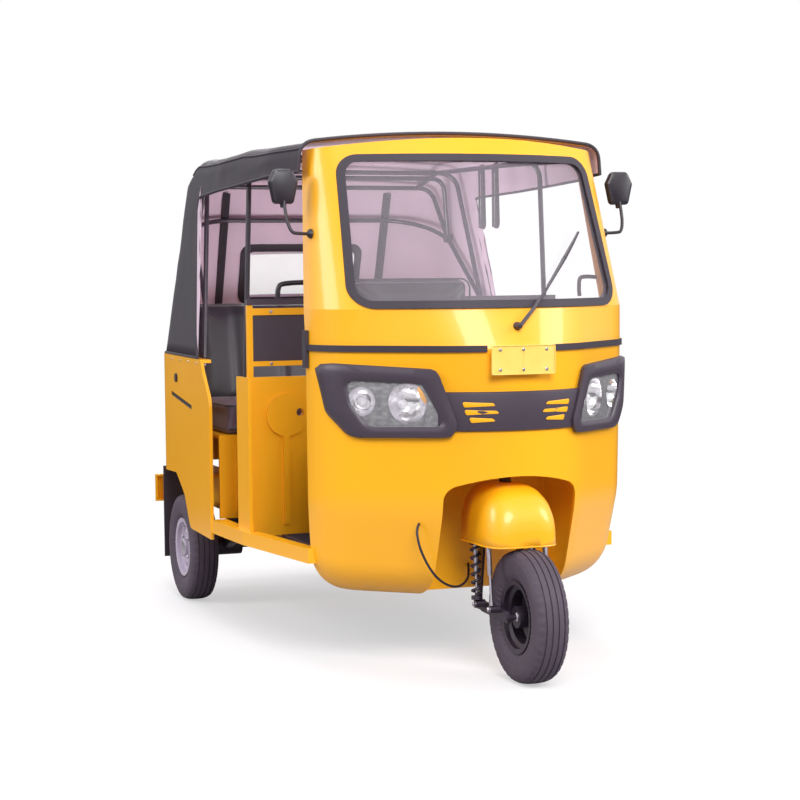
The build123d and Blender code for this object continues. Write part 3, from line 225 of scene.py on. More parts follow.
def weave(tree, place, thread_mm, soft):
    """Square net of threads over soft creases. The real thread is under a millimetre, drawn coarser to show."""
    sockets = {"Vector": place, "Scale": per(thread_mm) / 20.0}
    ways = [add(tree, "ShaderNodeTexWave", sockets, bands_direction=way) for way in ("Y", "Z")]
    net = add(tree, "ShaderNodeMath", {0: ways[0].outputs[1], 1: ways[1].outputs[1]}, operation="MAXIMUM")
    both = add(tree, "ShaderNodeMath", {0: net.outputs[0], 1: soft, 2: CREASE_SHARE}, operation="MULTIPLY_ADD")
    return both.outputs[0]


def make_finishes():
    for name, (constants, tones, pattern, bump) in RECIPES.items():
        made = bpy.data.materials.new(name)
        made.use_nodes = True
        tree = made.node_tree
        shader = next(n for n in tree.nodes if n.type == "BSDF_PRINCIPLED")
        for key, value in constants.items():
            shader.inputs[key.replace("_", " ")].default_value = value
        place = add(tree, "ShaderNodeTexCoord").outputs["Object"]
        factor = texture(tree, place, *pattern)
        if len(tones) == 3:
            low, high = (tone(getattr(colours(), tones[0]), share) for share in tones[1:])
        else:
            low, high = (linear(code) for code in tones)
        wander = add(tree, "ShaderNodeMix", {0: factor, 6: low, 7: high}, data_type="RGBA")
        tree.links.new(wander.outputs[2], shader.inputs["Base Color"])
        if bump:
            source, strength, depth_mm = bump
            if source is None:
                height = factor
            elif isinstance(source, float):
                height = weave(tree, place, source, factor)
            else:
                height = texture(tree, place, *source)
            lift = add(tree, "ShaderNodeBump",
                       {"Height": height, "Strength": strength, "Distance": depth_mm * MM})
            tree.links.new(lift.outputs["Normal"], shader.inputs["Normal"])
        FINISHES[name] = made


# ------------------------------------------------------------------ shape building
class Shape:
    """Faces gathered for one piece, each with the number of its finish."""

    def __init__(self):
        self.points, self.faces, self.finish = [], [], []

    def add(self, points, faces, finish=0):
        base = len(self.points)
        self.points += [Vector(p) for p in points]
        self.faces += [tuple(base + i for i in face) for face in faces]
        self.finish += [finish] * len(faces)
        return self

    def loft(self, loops, finish=0, ring=True, ends=(True, True)):
        """Skin over loops of equal length; ring closes each loop, ends caps the first and the last."""
        count = len(loops[0])
        faces = []
        for row in range(len(loops) - 1):
            for i in range(count if ring else count - 1):
                j = (i + 1) % count
                faces.append((row * count + i, row * count + j, (row + 1) * count + j, (row + 1) * count + i))
        if ends[0]:
            faces.append(tuple(reversed(range(count))))
        if ends[1]:
            faces.append(tuple(range((len(loops) - 1) * count, len(loops) * count)))
        return self.add([p for loop in loops for p in loop], faces, finish)

    def tube(self, path, radius, sides=12, finish=0, ring=False, flat=None):
        """Round bar along a path; flat=(width, thickness) makes it a strap instead."""
        path = [Vector(p) for p in path]
        loops, across = [], None
        for i, here in enumerate(path):
            after = path[(i + 1) % len(path)] if ring or i + 1 < len(path) else here
            before = path[i - 1] if ring or i else here
            ahead = (after - before).normalized()
            if across is None:
                across = ahead.orthogonal().normalized()
            across = (across - ahead * across.dot(ahead)).normalized()
            up = ahead.cross(across)
            r = radius[i] if isinstance(radius, (list, tuple)) else radius
            loops.append([here + spoke * r for spoke in spokes(across, up, sides, *(flat or (1.0, 1.0)))])
        if ring:
            loops.append(loops[0])
        return self.loft(loops, finish, ends=(not ring, not ring))

    def turned(self, profile, centre, axis, sides=48, finish=0, closed=False):
        """Revolve (distance along the axis, radius) rows about an axis through centre."""
        axis = Vector(axis).normalized()
        across = axis.orthogonal().normalized()
        ring = spokes(across, axis.cross(across), sides)
        rows = list(profile) + ([profile[0]] if closed else [])
        loops = [[centre + axis * d + spoke * r for spoke in ring] for d, r in rows]
        return self.loft(loops, finish, ends=(not closed, not closed))

    def plate(self, outline, low, high, edge, place, finish=0):
        """Outline of (a, b) points as a plate from level low to high, its rims softened by edge."""
        levels = [(edge, low), (0.3 * edge, low + 0.3 * edge), (0.0, low + edge), (0.0, high - edge),
                  (0.3 * edge, high - 0.3 * edge), (edge, high)]
        return self.loft([[place(a, b, level) for a, b in inset(outline, amount)] for amount, level in levels],
                         finish)

    def bolt(self, centre, axis, size, finish=0):
        """Hexagon head on a washer."""
        washer, head = ((0.0, 1.15), (0.18, 1.15), (0.2, 0.9)), ((0.2, 1.0), (0.8, 1.0), (0.95, 0.82))
        for profile, sides in ((washer, 20), (head, 6)):
            self.turned([(size * d, size * r) for d, r in profile], centre, axis, sides, finish)
        return self

    def make(self, name, body, slot, *materials, hard=38.0, replaces=()):
        mesh = bpy.data.meshes.new(name)
        mesh.from_pydata(self.points, [], self.faces)
        for material in materials:
            mesh.materials.append(FINISHES[material])
        mesh.polygons.foreach_set("material_index", self.finish)
        work = bmesh.new()
        work.from_mesh(mesh)
        bmesh.ops.remove_doubles(work, verts=work.verts, dist=1e-6)
        bmesh.ops.recalc_face_normals(work, faces=work.faces)
        work.to_mesh(mesh)
        work.free()
        mesh.shade_smooth()
        mesh.set_sharp_from_angle(angle=math.radians(hard))
        return settle(bpy.data.objects.new(name, mesh), body, replaces)


def spokes(across, up, sides, wide=1.0, thick=1.0):
    """Directions spread evenly round an axis; wide and thick flatten them."""
    return [across * math.cos(a) * wide + up * math.sin(a) * thick
            for a in (2 * math.pi * k / sides for k in range(sides))]


def settle(obj, body, replaces=()):
    """Links a finished piece, lets it ride and hides the frame's pieces that it replaces."""
    if not obj.users_collection:
        bpy.context.scene.collection.objects.link(obj)
    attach(obj, body)
    if replaces:
        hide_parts(*replaces)
    return obj


def inset(outline, amount):
    """Closed outline moved inwards by amount."""
    if not amount:
        return list(outline)
    count = len(outline)
    area = sum(outline[i - 1][0] * outline[i][1] - outline[i][0] * outline[i - 1][1] for i in range(count))
    turn = 1.0 if area > 0 else -1.0
    moved = []
    for i in range(count):
        before, here, after = Vector(outline[i - 1]), Vector(outline[i]), Vector(outline[(i + 1) % count])
        normals = []
        for step in (here - before, after - here):
            if step.length > 1e-9:
                normals.append(Vector((-step.y, step.x)).normalized() * turn)
        lean = sum(normals, Vector((0.0, 0.0)))
        if lean.length < 1e-9:
            moved.append(tuple(here))
            continue
        lean.normalize()
        moved.append(tuple(here + lean * amount / max(0.5, lean.dot(normals[0]))))
    return moved


def rounded(corners, steps=7):
    """Outline through (a, b, radius) corners with round turns."""
    points = []
    count = len(corners)
    for i, (a, b, radius) in enumerate(corners):
        here = Vector((a, b))
        to_before = (Vector(corners[i - 1][:2]) - here).normalized()
        to_after = (Vector(corners[(i + 1) % count][:2]) - here).normalized()
        if not radius:
            points.append((a, b))
            continue
        half = to_before.angle(to_after) / 2
        reach = radius / math.tan(half)
        middle = here + (to_before + to_after).normalized() * (radius / math.sin(half))
        first, last = here + to_before * reach - middle, here + to_after * reach - middle
        sweep = first.angle_signed(last)
        for k in range(steps + 1):
            angle = -sweep * k / steps
            c, s = math.cos(angle), math.sin(angle)
            points.append((middle.x + first.x * c - first.y * s, middle.y + first.x * s + first.y * c))
    return points


def smooth_path(points, steps=6):
    """Catmull-Rom line through the points."""
    points = [Vector(p) for p in points]
    ends = [points[0] * 2 - points[1]] + points + [points[-1] * 2 - points[-2]]
    line = []
    for p0, p1, p2, p3 in zip(ends, ends[1:], ends[2:], ends[3:]):
        for k in range(steps):
            t = k / steps
            line.append(0.5 * (2 * p1 + (p2 - p0) * t + (2 * p0 - 5 * p1 + 4 * p2 - p3) * t * t
                               + (3 * p1 - p0 - 3 * p2 + p3) * t ** 3))
    return line + [points[-1]]


def mix(a, b, share):
    return a + (b - a) * share


def both_sides(build):
    """Runs build with side -1 for the vehicle's right and 1 for its left."""
    for side in (-1, 1):
        build(side)


def front_view(a, b, level):
    """X and height on the plate, level counted backwards from the front axle."""
    return at(a, level, b)


def round_box(a0, a1, b0, b1, radius, steps=7):
    """Rectangle with round corners, for the plates, rims and pipings."""
    return rounded([(a0, b0, radius), (a1, b0, radius), (a1, b1, radius), (a0, b1, radius)], steps)
def plan_view(a, b, level):
    """X and station on the plate, level as height."""
    return at(a, b, level)


# ------------------------------------------------------------------ the cab's skin, as the frame has it
# rows: height, half width, nose station, nose radius, corner radius, flank angle
LOWER_CAB = ((238, 533, 172, 400, 270, 42), (540, 545, 62, 400, 270, 42), (1037, 546, 40, 400, 270, 42))
UPPER_CAB = ((1037, 546, 40, 400, 270, 42), (1160, 543, 95, 480, 245, 36), (1720, 500, 430, 800, 95, 22))


def cab_front(x, z, out=0.0):
    """Station of the cab's front at x and height z, moved outwards by out, all in millimetres."""
    rows = UPPER_CAB if z > UPPER_CAB[0][0] else LOWER_CAB
    low, high = next((a, b) for a, b in zip(rows, rows[1:]) if a[0] <= z <= b[0])
    row = [mix(a, b, (z - low[0]) / (high[0] - low[0])) for a, b in zip(low, high)]
    half, nose, nose_r, corner_r = row[1] + out, row[2] - out, row[3] + out, row[4] + out
    s, c = math.sin(math.radians(row[5])), math.cos(math.radians(row[5]))
    x = abs(x)
    if x <= nose_r * s:
        return nose + nose_r - math.sqrt(nose_r ** 2 - x ** 2)
    flank_x = half - corner_r * (1 - s)
    flank = nose + nose_r * (1 - c) + (flank_x - nose_r * s) * s / c
    if x <= flank_x:
        return flank - (flank_x - x) * s / c
    reach = min(x - half + corner_r, corner_r * 0.999)
    return flank + corner_r * c - math.sqrt(corner_r ** 2 - reach ** 2)


def on_cab(x, z, out=0.0):
    return at(x, cab_front(x, z, out), z)


def radial(outline, centre, count):
    """The outline's points as seen from a centre at even angles, so that two outlines can be joined."""
    found = []
    for k in range(count):
        angle = 2 * math.pi * k / count
        ray = Vector((math.cos(angle), math.sin(angle)))
        best = None
        for i in range(len(outline)):
            a, b = Vector(outline[i - 1]) - centre, Vector(outline[i]) - centre
            edge = b - a
            cross = ray.x * edge.y - ray.y * edge.x
            if abs(cross) < 1e-12:
                continue
            reach = (a.x * edge.y - a.y * edge.x) / cross
            share = (a.x * ray.y - a.y * ray.x) / cross
            if reach > 0 and -1e-6 <= share <= 1 + 1e-6 and (best is None or reach > best):
                best = reach
        found.append(tuple(centre + ray * best))
    return found


# ------------------------------------------------------------------ paintwork of the frame's own pieces
LOOKS = {
    "yellow_paint": "enamel_sprayed_yellow", "grey_plastic": "abs_moulded_grained",
    "black_plastic": "polypropylene_moulded_black", "rubber": "epdm_extruded_black",
    "hood_vinyl": "pvc_coated_cloth_outside", "black_steel": "steel_dipped_black",
    "tyre": "tyre_rubber_cured", "bright_steel": "steel_zinc_plated", "clear_glass": "glass_float_screen",
    "lamp_chrome": "reflector_aluminised", "lamp_glass": "polycarbonate_moulded_clear",
    "plate_paint": "aluminium_stamped_pale", "seat_vinyl": "leathercloth_embossed_dark",
    "cast_metal": "aluminium_sand_cast", "red_lens": "acrylic_moulded_red",
    "clear_vinyl": "pvc_film_calendered", "rim_paint": "steel_sprayed_wheel",
}
# pieces whose sheet edges are rolled
PRESSED = ("partition_panels", "partition_rails", "seat_box", "rear_tub", "rear_bumper", "side_sills",
           "engine_door", "windscreen_frame", "dashboard", "number_plate")


class Piece:
    """What the operators share."""
    bl_options = {"REGISTER"}

    def execute(self, context):
        self.build(context)
        return {"FINISHED"}


class RICKSHAW_OT_paint(Piece, bpy.types.Operator):
    """Finishes on the pieces that the frame itself shows"""
    bl_idname = "rickshaw.paint"
    bl_label = "Paintwork"

    def build(self, context):
        make_finishes()
        for row in frame["record"]["subparts"]:
            node = NODES[row["node"]]
            node.data.materials.clear()
            node.data.materials.append(FINISHES[LOOKS[row["material_slot"]]])
        for name in PRESSED:
            edge = NODES[name].modifiers.new("rolled edges", "BEVEL")
            edge.width, edge.segments, edge.limit_method = 0.0022, 2, "ANGLE"
            edge.angle_limit = math.radians(45)


# ------------------------------------------------------------------ hood
HOOD_FRONT, DECK, OPEN_FRONT = 585.0, 960.0, 1397.0
# plan of the cover at two heights: height, half width in front, at the rear, station of the rear, corner radius
HOOD_PLANS = ((960.0, 633.0, 594.0, 2400.0, 215.0), (1640.0, 582.0, 541.0, 2176.0, 188.0))
# station and height: the side's lower edge over the opening, then the turn of its hem
OPENING_TOP = ((585.0, 1600.0), (1200.0, 1578.0), (1715.0, 1564.0))
HEM_TURN = ((1738.0, 1559.0), (1755.0, 1547.0), (1763.0, 1528.0), (1762.0, 1505.0))
HEM_FOOT = (1605.0, 960.0)
HEM_HEADS = (1728.0, 1795.0)        # stations between which the columns over the hem reach the roof
HEAD_LEVEL = 1650.0                 # height at which the search for the roof starts
WALL_SHARES = (0.0, 0.07, 0.19, 0.28, 0.372, 0.46, 0.55, 0.64, 0.726, 0.82, 0.91, 1.0)
REAR_X = (300.0, 240.0, 160.0, 80.0, 0.0)
WINDOW_HALF, WINDOW_LOW, WINDOW_HIGH = 240.0, 1172.0, 1374.0
BOW_STATIONS = (585.0, 1125.0, 1830.0, 2055.0, 2165.0)
SHOULDER = 52.0
RIDGE_FAN = 1600.0
REAR_STATION, REAR_LEAN, REAR_RISE = 2400.0, 235.0, 680.0   # flat rear at the deck, and its lean over a rise
ROOF_TOP, CROWN_DROP, CROWN_HALF = 1739.0, 34.0, 567.0      # ridge, and the fall across to this half width
FALL_START, FALL_BLEND, FALL_SLOPE = 1868.0, 60.0, 0.344    # where the roof turns down, over what, how steeply
SAG_HALF, FULL_SPAN = 640.0, 500.0      # half width where the sag ends, and bow distance at which it is full
# the front edge: drawn in by GATHER at a half width of GATHER_HALF, and down by DIP above DIP_FROM
GATHER_REACH, GATHER, GATHER_HALF = 260.0, 42.0, 575.0
DIP_REACH, DIP, DIP_FROM, DIP_BLEND = 160.0, 4.0, 1640.0, 60.0


def plan_at(z):
    """The cover's plan at height z: half width in front, at the rear, station of the rear, corner radius."""
    (z0, *low), (z1, *high) = HOOD_PLANS
    return tuple(mix(a, b, (z - z0) / (z1 - z0)) for a, b in zip(low, high))


def hood_wall(q, z):
    """Right-hand wall of the cover: q runs to 1 along the side, to 2 round the corner, to 3 across the rear."""
    wide, narrow, rear, corner = plan_at(z)
    start = rear - corner
    if q <= 1.0:
        station = mix(HOOD_FRONT, start, q)
        x = wide if station < OPEN_FRONT else mix(wide, narrow, (station - OPEN_FRONT) / (start - OPEN_FRONT))
        return Vector((-x, station)), Vector((1.0, 0.0))
    if q <= 2.0:
        turn = (q - 1.0) * math.pi / 2
        c, s = math.cos(turn), math.sin(turn)
        return Vector((-(narrow - corner + corner * c), start + corner * s)), Vector((c, -s))
    return Vector((-mix(narrow - corner, 0.0, q - 2.0), rear)), Vector((0.0, -1.0))


def side_share(station, z):
    _, _, rear, corner = plan_at(z)
    return (station - HOOD_FRONT) / (rear - corner - HOOD_FRONT)


def rear_share(x, z):
    _, narrow, _, corner = plan_at(z)
    return 3.0 - x / (narrow - corner)


def rear_station(z):
    """Station of the cover's flat rear at height z."""
    return REAR_STATION - (z - DECK) * REAR_LEAN / REAR_RISE


def roof_height(x, station):
    """Top of the cover: crowned across, falling behind the last flat bow, hanging a little between the bows."""
    fall = station - FALL_START
    if fall < -FALL_BLEND:
        drop = 0.0
    elif fall < FALL_BLEND:
        drop = (fall + FALL_BLEND) ** 2 / (4 * FALL_BLEND) * FALL_SLOPE
    else:
        drop = fall * FALL_SLOPE
    height = ROOF_TOP - drop - CROWN_DROP * (x / CROWN_HALF) ** 2
    for front, back in zip(BOW_STATIONS, BOW_STATIONS[1:]):
        if front < station < back:
            wave = math.sin(math.pi * (station - front) / (back - front))
            reach = min(1.0, (back - front) / FULL_SPAN)
            height -= sizes().hood_sag * 1000 * reach * wave ** 0.8 * (1 - min(1.0, abs(x) / SAG_HALF) ** 8)
    return height


def hood_column(q_low, z_low, q_high):
    """One line of the cover from its lower edge over the shoulder to the ridge, in millimetres."""
    z = HEAD_LEVEL
    for _ in range(5):
        plan, inward = hood_wall(q_high(z), z)
        z = roof_height(plan.x, plan.y)
    corner, top = Vector((plan.x, plan.y, z)), z - SHOULDER
    line = []
    for share in WALL_SHARES:
        height = mix(z_low, top, share)
        spot, _ = hood_wall(mix(q_low(height), q_high(height), share), height)
        line.append(Vector((spot.x, spot.y, height)))
    inner = plan + inward * SHOULDER
    inner = Vector((inner.x, inner.y, roof_height(inner.x, inner.y)))
    foot = line[-1]
    for t in (k / 6 for k in range(1, 6)):
        line.append(foot * (1 - t) ** 2 + corner * 2 * t * (1 - t) + inner * t * t)
    line.append(inner)
    ridge = min(inner.y, RIDGE_FAN + (inner.y - RIDGE_FAN) * 0.6)
    for k in range(1, 10):
        x, station = inner.x * (1 - k / 9), mix(inner.y, ridge, k / 9)
        line.append(Vector((x, station, roof_height(x, station))))
    return [gathered(p) for p in line]


def gathered(p):
    """The cloth's front edge is drawn in and down round the windscreen frame."""
    share = min(1.0, max(0.0, (p.y - HOOD_FRONT) / GATHER_REACH))
    pull = 1.0 - share * share * (3 - 2 * share)
    near = max(0.0, 1.0 - (p.y - HOOD_FRONT) / DIP_REACH)
    dip = DIP * near * min(1.0, max(0.0, (p.z - DIP_FROM) / DIP_BLEND))
    return Vector((p.x * (1 - GATHER / GATHER_HALF * pull), p.y, p.z - dip))


def hood_columns():
    """Lines of the right half: over the opening, round its hem, along the side, the corner and the rear."""
    columns = []
    opening_end, hem_end = OPENING_TOP[-1][0], HEM_TURN[-1]
    for station in [HOOD_FRONT + i * (opening_end - HOOD_FRONT) / 30 for i in range(31)]:
        (s0, z0), (s1, z1) = (OPENING_TOP[:2] if station < OPENING_TOP[1][0] else OPENING_TOP[1:])
        low = mix(z0, z1, (station - s0) / (s1 - s0))
        place = lambda z, s=station: side_share(s, z)
        columns.append((place, low, place))
    starts = list(HEM_TURN) + [(mix(hem_end[0], HEM_FOOT[0], k / 9), mix(hem_end[1], HEM_FOOT[1], k / 9))
                               for k in range(1, 10)]
    for k, (station, z) in enumerate(starts):
        columns.append((lambda _, s=station, h=z: side_share(s, h), z,
                        lambda z, s=mix(*HEM_HEADS, k / 12): side_share(s, z)))
    foot, head = side_share(HEM_FOOT[0], DECK), side_share(HEM_HEADS[1], HEAD_LEVEL)
    ahead = [(mix(foot, 1.0, k / 10), mix(head, 1.0, k / 10)) for k in range(1, 11)]
    for low, high in ahead + [(1 + k / 8, 1 + k / 8) for k in range(1, 9)]:
        columns.append((lambda _, q=low: q, DECK, lambda _, q=high: q))
    for x in REAR_X:
        place = lambda z, x=x: rear_share(x, z)
        columns.append((place, DECK, place))
    return [hood_column(*column) for column in columns]


class RICKSHAW_OT_hood(Piece, bpy.types.Operator):
    """Coated cloth over the bows, with its hems, seams, lining and rear window"""
    bl_idname = "rickshaw.hood"
    bl_label = "Hood"

    def crease(self, point, weight):
        swell = sizes().hood_crease
        wave = noise.noise(point * 5.0) + 0.45 * noise.noise(point * 13.0)
        fold = math.sin(point.z * 26.0 + point.y * 7.0 + 2.5 * noise.noise(point * 3.0))
        return swell * weight * (wave + 0.35 * fold)

    def draped(self, p, i, j, count):
        """Point j of column i in metres, creased inwards and held at the edges."""
        spot = at(p.x, p.y, p.z)
        wall = 1.0 if j < len(WALL_SHARES) else 0.4
        held = min(1.0, min(j, 4) / 4) * min(1.0, min(i, count - 1 - i) / 3)
        push = self.crease(spot, wall * held)
        out = Vector((spot.x * 1.6, (spot.y - 0.2) * (1.0 if p.y > 2000 else 0.1), 0.0 if wall == 1.0 else 1.0))
        return spot - out.normalized() * (0.0015 + abs(push))

    def build(self, context):
        right = hood_columns()
        grid = right + [[Vector((-p.x, p.y, p.z)) for p in column] for column in reversed(right[:-1])]
        count, rows = len(grid), len(right[0])
        moved = [[self.draped(p, i, j, count) for j, p in enumerate(column)] for i, column in enumerate(grid)]
        faces = []
        for i in range(count - 1):
            for j in range(rows - 1):
                ring = ((i, j), (i + 1, j), (i + 1, j + 1), (i, j + 1))
                centre = sum((moved[a][b] for a, b in ring), Vector()) / 4
                behind = centre.y > FRONT_AXLE + 2.2
                level = WINDOW_LOW * MM < centre.z < WINDOW_HIGH * MM
                if not (behind and level and abs(centre.x) < WINDOW_HALF * MM):
                    faces.append(tuple(a * rows + b for a, b in ring))
        shape = Shape().add([p for column in moved for p in column], faces)
        cover = shape.make("hood_cover", "body", "hood_vinyl", "pvc_coated_cloth_outside",
                           "polyester_lining_brushed", hard=80.0, replaces=("hood_canopy",))
        thick = cover.modifiers.new("cloth and lining", "SOLIDIFY")
        thick.thickness, thick.offset, thick.material_offset = 0.004, -1.0, 1
        self.hems(moved, rows)
        pane = self.window()
        self.bands()
        self.straps()

    def hems(self, moved, rows):
        """Rolled hems along the lower and front edges, seams along the shoulders and down the rear corners."""
        hems, count = Shape(), len(moved)
        hems.tube([column[0] + Vector((0.0, 0.0, 0.004)) for column in moved], 0.006, 8)
        hems.tube(moved[0] + moved[-1][::-1], 0.006, 8)
        seam, side_columns, corner_column = len(WALL_SHARES) + 1, 52, 58
        for side in (moved[:side_columns], moved[count - side_columns:]):
            hems.tube([column[seam] + Vector((0.0, 0.0, 0.0015)) for column in side], 0.0035, 6)
        for i in (corner_column, count - 1 - corner_column):
            hems.tube(moved[i][:seam], 0.0035, 6)
        hems.make("hood_hems", "body", "hood_vinyl", "epdm_extruded_black")

    def window(self):
        """Welt round the rear window and its film, which it returns."""
        slope = math.atan2(REAR_LEAN, REAR_RISE)

        def rear_face(x, z, out):
            return at(x, rear_station(z) - 2.0 + out * math.cos(slope), z + out * math.sin(slope))
        outer, inner = round_box(-260, 260, 1152, 1394, 40), round_box(-232, 232, 1180, 1366, 26)
        wider = inset(inner, -3)
        welt, section = Shape(), ((outer, -1), (outer, 4), (wider, 5), (inner, 3), (inner, -5), (wider, -7),
                                  (outer, -6), (outer, -1))
        welt.loft([[rear_face(a, b, out) for a, b in outline] for outline, out in section], ends=(False, False))
        welt.make("rear_window_welt", "body", "hood_vinyl", "pvc_coated_cloth_outside")
        film, across, up = Shape(), 12, 6
        spots = [(mix(-238, 238, i / across), mix(1174, 1372, j / up))
                 for i in range(across + 1) for j in range(up + 1)]
        row = up + 1
        film.add([rear_face(x, z, -1.0 + 3.0 * noise.noise(Vector((x * 0.008, z * 0.01, 3.0))))
                  for x, z in spots],
                 [(i * row + j, i * row + j + 1, (i + 1) * row + j + 1, (i + 1) * row + j)
                  for i in range(across) for j in range(up)])
        return film.make("rear_window_film", "body", "clear_vinyl", "pvc_film_calendered",
                         replaces=("rear_window",))

    def bands(self):
        """Two flat bands down the rear panel's inside, beside the window."""
        bands = Shape()
        for side in (-1, 1):
            line = [at(side * 343, rear_station(z) - 12.0 - 3, z) for z in range(1000, 1660, 60)]
            bands.tube(line, 1.0, 8, flat=(0.004, 0.018))
        bands.make("hood_bands", "body", "hood_vinyl", "nylon_woven_strap")

    def straps(self):
        """Two hand loops under the left roof rail."""
        straps = Shape()
        for station in (1240.0, 1370.0):
            loop = rounded([(station - 20, 1442, 12), (station + 20, 1442, 12), (station + 17, 1668, 8),
                            (station - 17, 1668, 8)], 5)
            straps.tube([at(430, s, z) for s, z in loop], 1.0, 8, ring=True, flat=(0.0022, 0.011))
        straps.make("hand_loops", "body", "hood_vinyl", "nylon_woven_strap")


# ------------------------------------------------------------------ lamps and grille
BEZEL = ((541, 993, 22), (250, 975, 25), (192, 800, 22), (210, 762, 18), (466, 756, 45), (519, 832, 60))
LENS = ((480, 938, 16), (288, 929, 16), (228, 797, 14), (424, 792, 35), (466, 864, 40))
LAMP_CENTRE = Vector((355.0, 866.0))
BULBS = ((420, 868), (318, 862))


class RICKSHAW_OT_lamps(Piece, bpy.types.Operator):
    """Headlamp bezels, domed lenses and bulbs"""
    bl_idname = "rickshaw.lamps"
    bl_label = "Headlamps"

    def build(self, context):
        outer = radial(rounded(BEZEL), LAMP_CENTRE, 72)
        inner = radial(rounded(LENS), LAMP_CENTRE, 72)
        lip = radial(inset(rounded(LENS), -7), LAMP_CENTRE, 72)
        bezels, lenses, bulbs = Shape(), Shape(), Shape()

        def one(side):
            def ring(start, end, share, out):
                return [on_cab(side * mix(a, c, share), mix(b, d, share), out)
                        for (a, b), (c, d) in zip(start, end)]
            steps = ((0.0, -2), (0.0, 9), (0.03, 15), (0.08, 18.5), (0.45, 21), (0.75, 21.5))
            bezels.loft([ring(outer, inner, *step) for step in steps] + [ring(outer, lip, 1.0, 20)]
                        + [ring(outer, inner, 1.0, out) for out in (15, 2, -12)], ends=(False, False))
            lenses.loft([ring(inner, [LAMP_CENTRE] * len(inner), share, 9 + 7 * (1 - (1 - share) ** 2))
                         for share in (0.0, 0.1, 0.3, 0.55, 0.8, 0.97)], ends=(False, True))
            look = Vector((side * 0.45, -0.9, 0.0))
            for x, z in BULBS:
                spot = on_cab(side * x, z, -34)
                bulbs.turned([(-0.02, 0.012), (0.0, 0.016), (0.008, 0.014), (0.013, 0.008), (0.015, 0.001)],
                             spot, look, 20)
                bulbs.turned([(-0.03, 0.02), (-0.018, 0.022), (-0.012, 0.015)], spot, look, 24, finish=1)
            divider = [on_cab(side * x, z, out) for x, z, out in
                       ((383, 936, -6), (381, 900, -10), (374, 845, -12), (366, 792, -8))]
            bulbs.tube(divider, 0.007, 8, finish=1, flat=(1.0, 0.6))
        both_sides(one)
        bezels.make("headlamp_surrounds", "body", "grey_plastic", "abs_moulded_grained", hard=50.0,
                    replaces=("headlamp_bezels",))
        lenses.make("headlamp_glasses", "body", "lamp_glass", "polycarbonate_moulded_clear",
                    replaces=("headlamp_lenses",))
        bulbs.make("headlamp_bulbs", "body", "lamp_chrome", "acrylic_moulded_white", "reflector_aluminised")


class RICKSHAW_OT_grille(Piece, bpy.types.Operator):
    """Band between the lamps with three tapered strips each side, and the blank plate's rim and bolts"""
    bl_idname = "rickshaw.grille"
    bl_label = "Grille and plate"

    def build(self, context):
        band, strips = Shape(), Shape()
        xs = [-246 + 492 * i / 40 for i in range(41)]
        profile = ((781, -2), (781, 5), (784, 9), (790, 10), (842, 11), (895, 10), (901, 9), (904, 5),
                   (904, -2))
        band.loft([[on_cab(x, z, out) for z, out in profile] for x in xs])
        for side in (-1, 1):
            for inner_x, outer_x, z in ((84, 176, 864), (72, 170, 840), (84, 156, 816)):
                outline = rounded([(inner_x, z - 3, 2), (outer_x, z - 7, 4), (outer_x + 6, z + 9, 4),
                                   (inner_x + 10, z + 5, 2)], 4)
                strips.loft([[on_cab(side * x, h, level) for x, h in inset(outline, edge)]
                             for edge, level in ((-0.5, 9.0), (-0.5, 12.5), (0.4, 13.5), (0.9, 13.6))],
                            ends=(False, True))
        band.make("grille_band", "body", "grey_plastic", "abs_moulded_grained", replaces=("front_grille",))
        strips.make("grille_strips", "body", "yellow_paint", "enamel_sprayed_yellow")

        rim = Shape()
        outline = round_box(-106, 106, 958, 1046, 7, 5)
        rim.tube([at(x, 19.2, z) for x, z in outline], 0.0018, 8, ring=True)
        rim.tube([at(0, 19.6, z) for z in (960, 1000, 1044)], 0.0007, 6)
        for x in (-78, 0, 78):
            for z in (972, 1034):
                rim.bolt(at(x, 19.8, z), (0, -1, 0), 0.0045, finish=1)
        rim.make("plate_rim", "body", "plate_paint", "aluminium_stamped_pale", "steel_zinc_plated")


# ------------------------------------------------------------------ front wheel's surroundings
class RICKSHAW_OT_mudguard(Piece, bpy.types.Operator):
    """Pressed dome over the front wheel with a rolled rim"""
    bl_idname = "rickshaw.mudguard"
    bl_label = "Front mudguard"

    # station, half width, top
    SECTIONS = ((-6, 42, 468), (-4, 66, 497), (2, 86, 520), (14, 99, 543), (32, 109, 567), (60, 116, 588),
                (95, 118, 602), (130, 118, 608), (180, 118, 609), (250, 118, 606))
    LOW = 422.0

    def build(self, context):
        dome, rim, steps, power = Shape(), Shape(), 36, 2.0 / 3.0
        loops = []
        for station, half, top in self.SECTIONS:
            loop = []
            for k in range(steps + 1):
                c, s = math.cos(math.pi * k / steps), math.sin(math.pi * k / steps)
                x = math.copysign(abs(c) ** power, c) * half
                loop.append(at(x, station, self.LOW + (top - self.LOW) * abs(s) ** power))
            loops.append(loop)
        dome.loft(loops, ring=False, ends=(True, False))
        guard = dome.make("mudguard_dome", "steering", "yellow_paint", "enamel_sprayed_yellow", hard=60.0,
                          replaces=("front_mudguard",))
        wall = guard.modifiers.new("pressed sheet", "SOLIDIFY")
        wall.thickness, wall.offset = 0.003, 0.0
        edge = [loop[0] for loop in reversed(loops)] + [loop[-1] for loop in loops]
        rim.tube([p + Vector((0, 0, 0.0015)) for p in edge], 0.003, 8)
        rim.make("mudguard_rim", "steering", "yellow_paint", "enamel_sprayed_yellow")


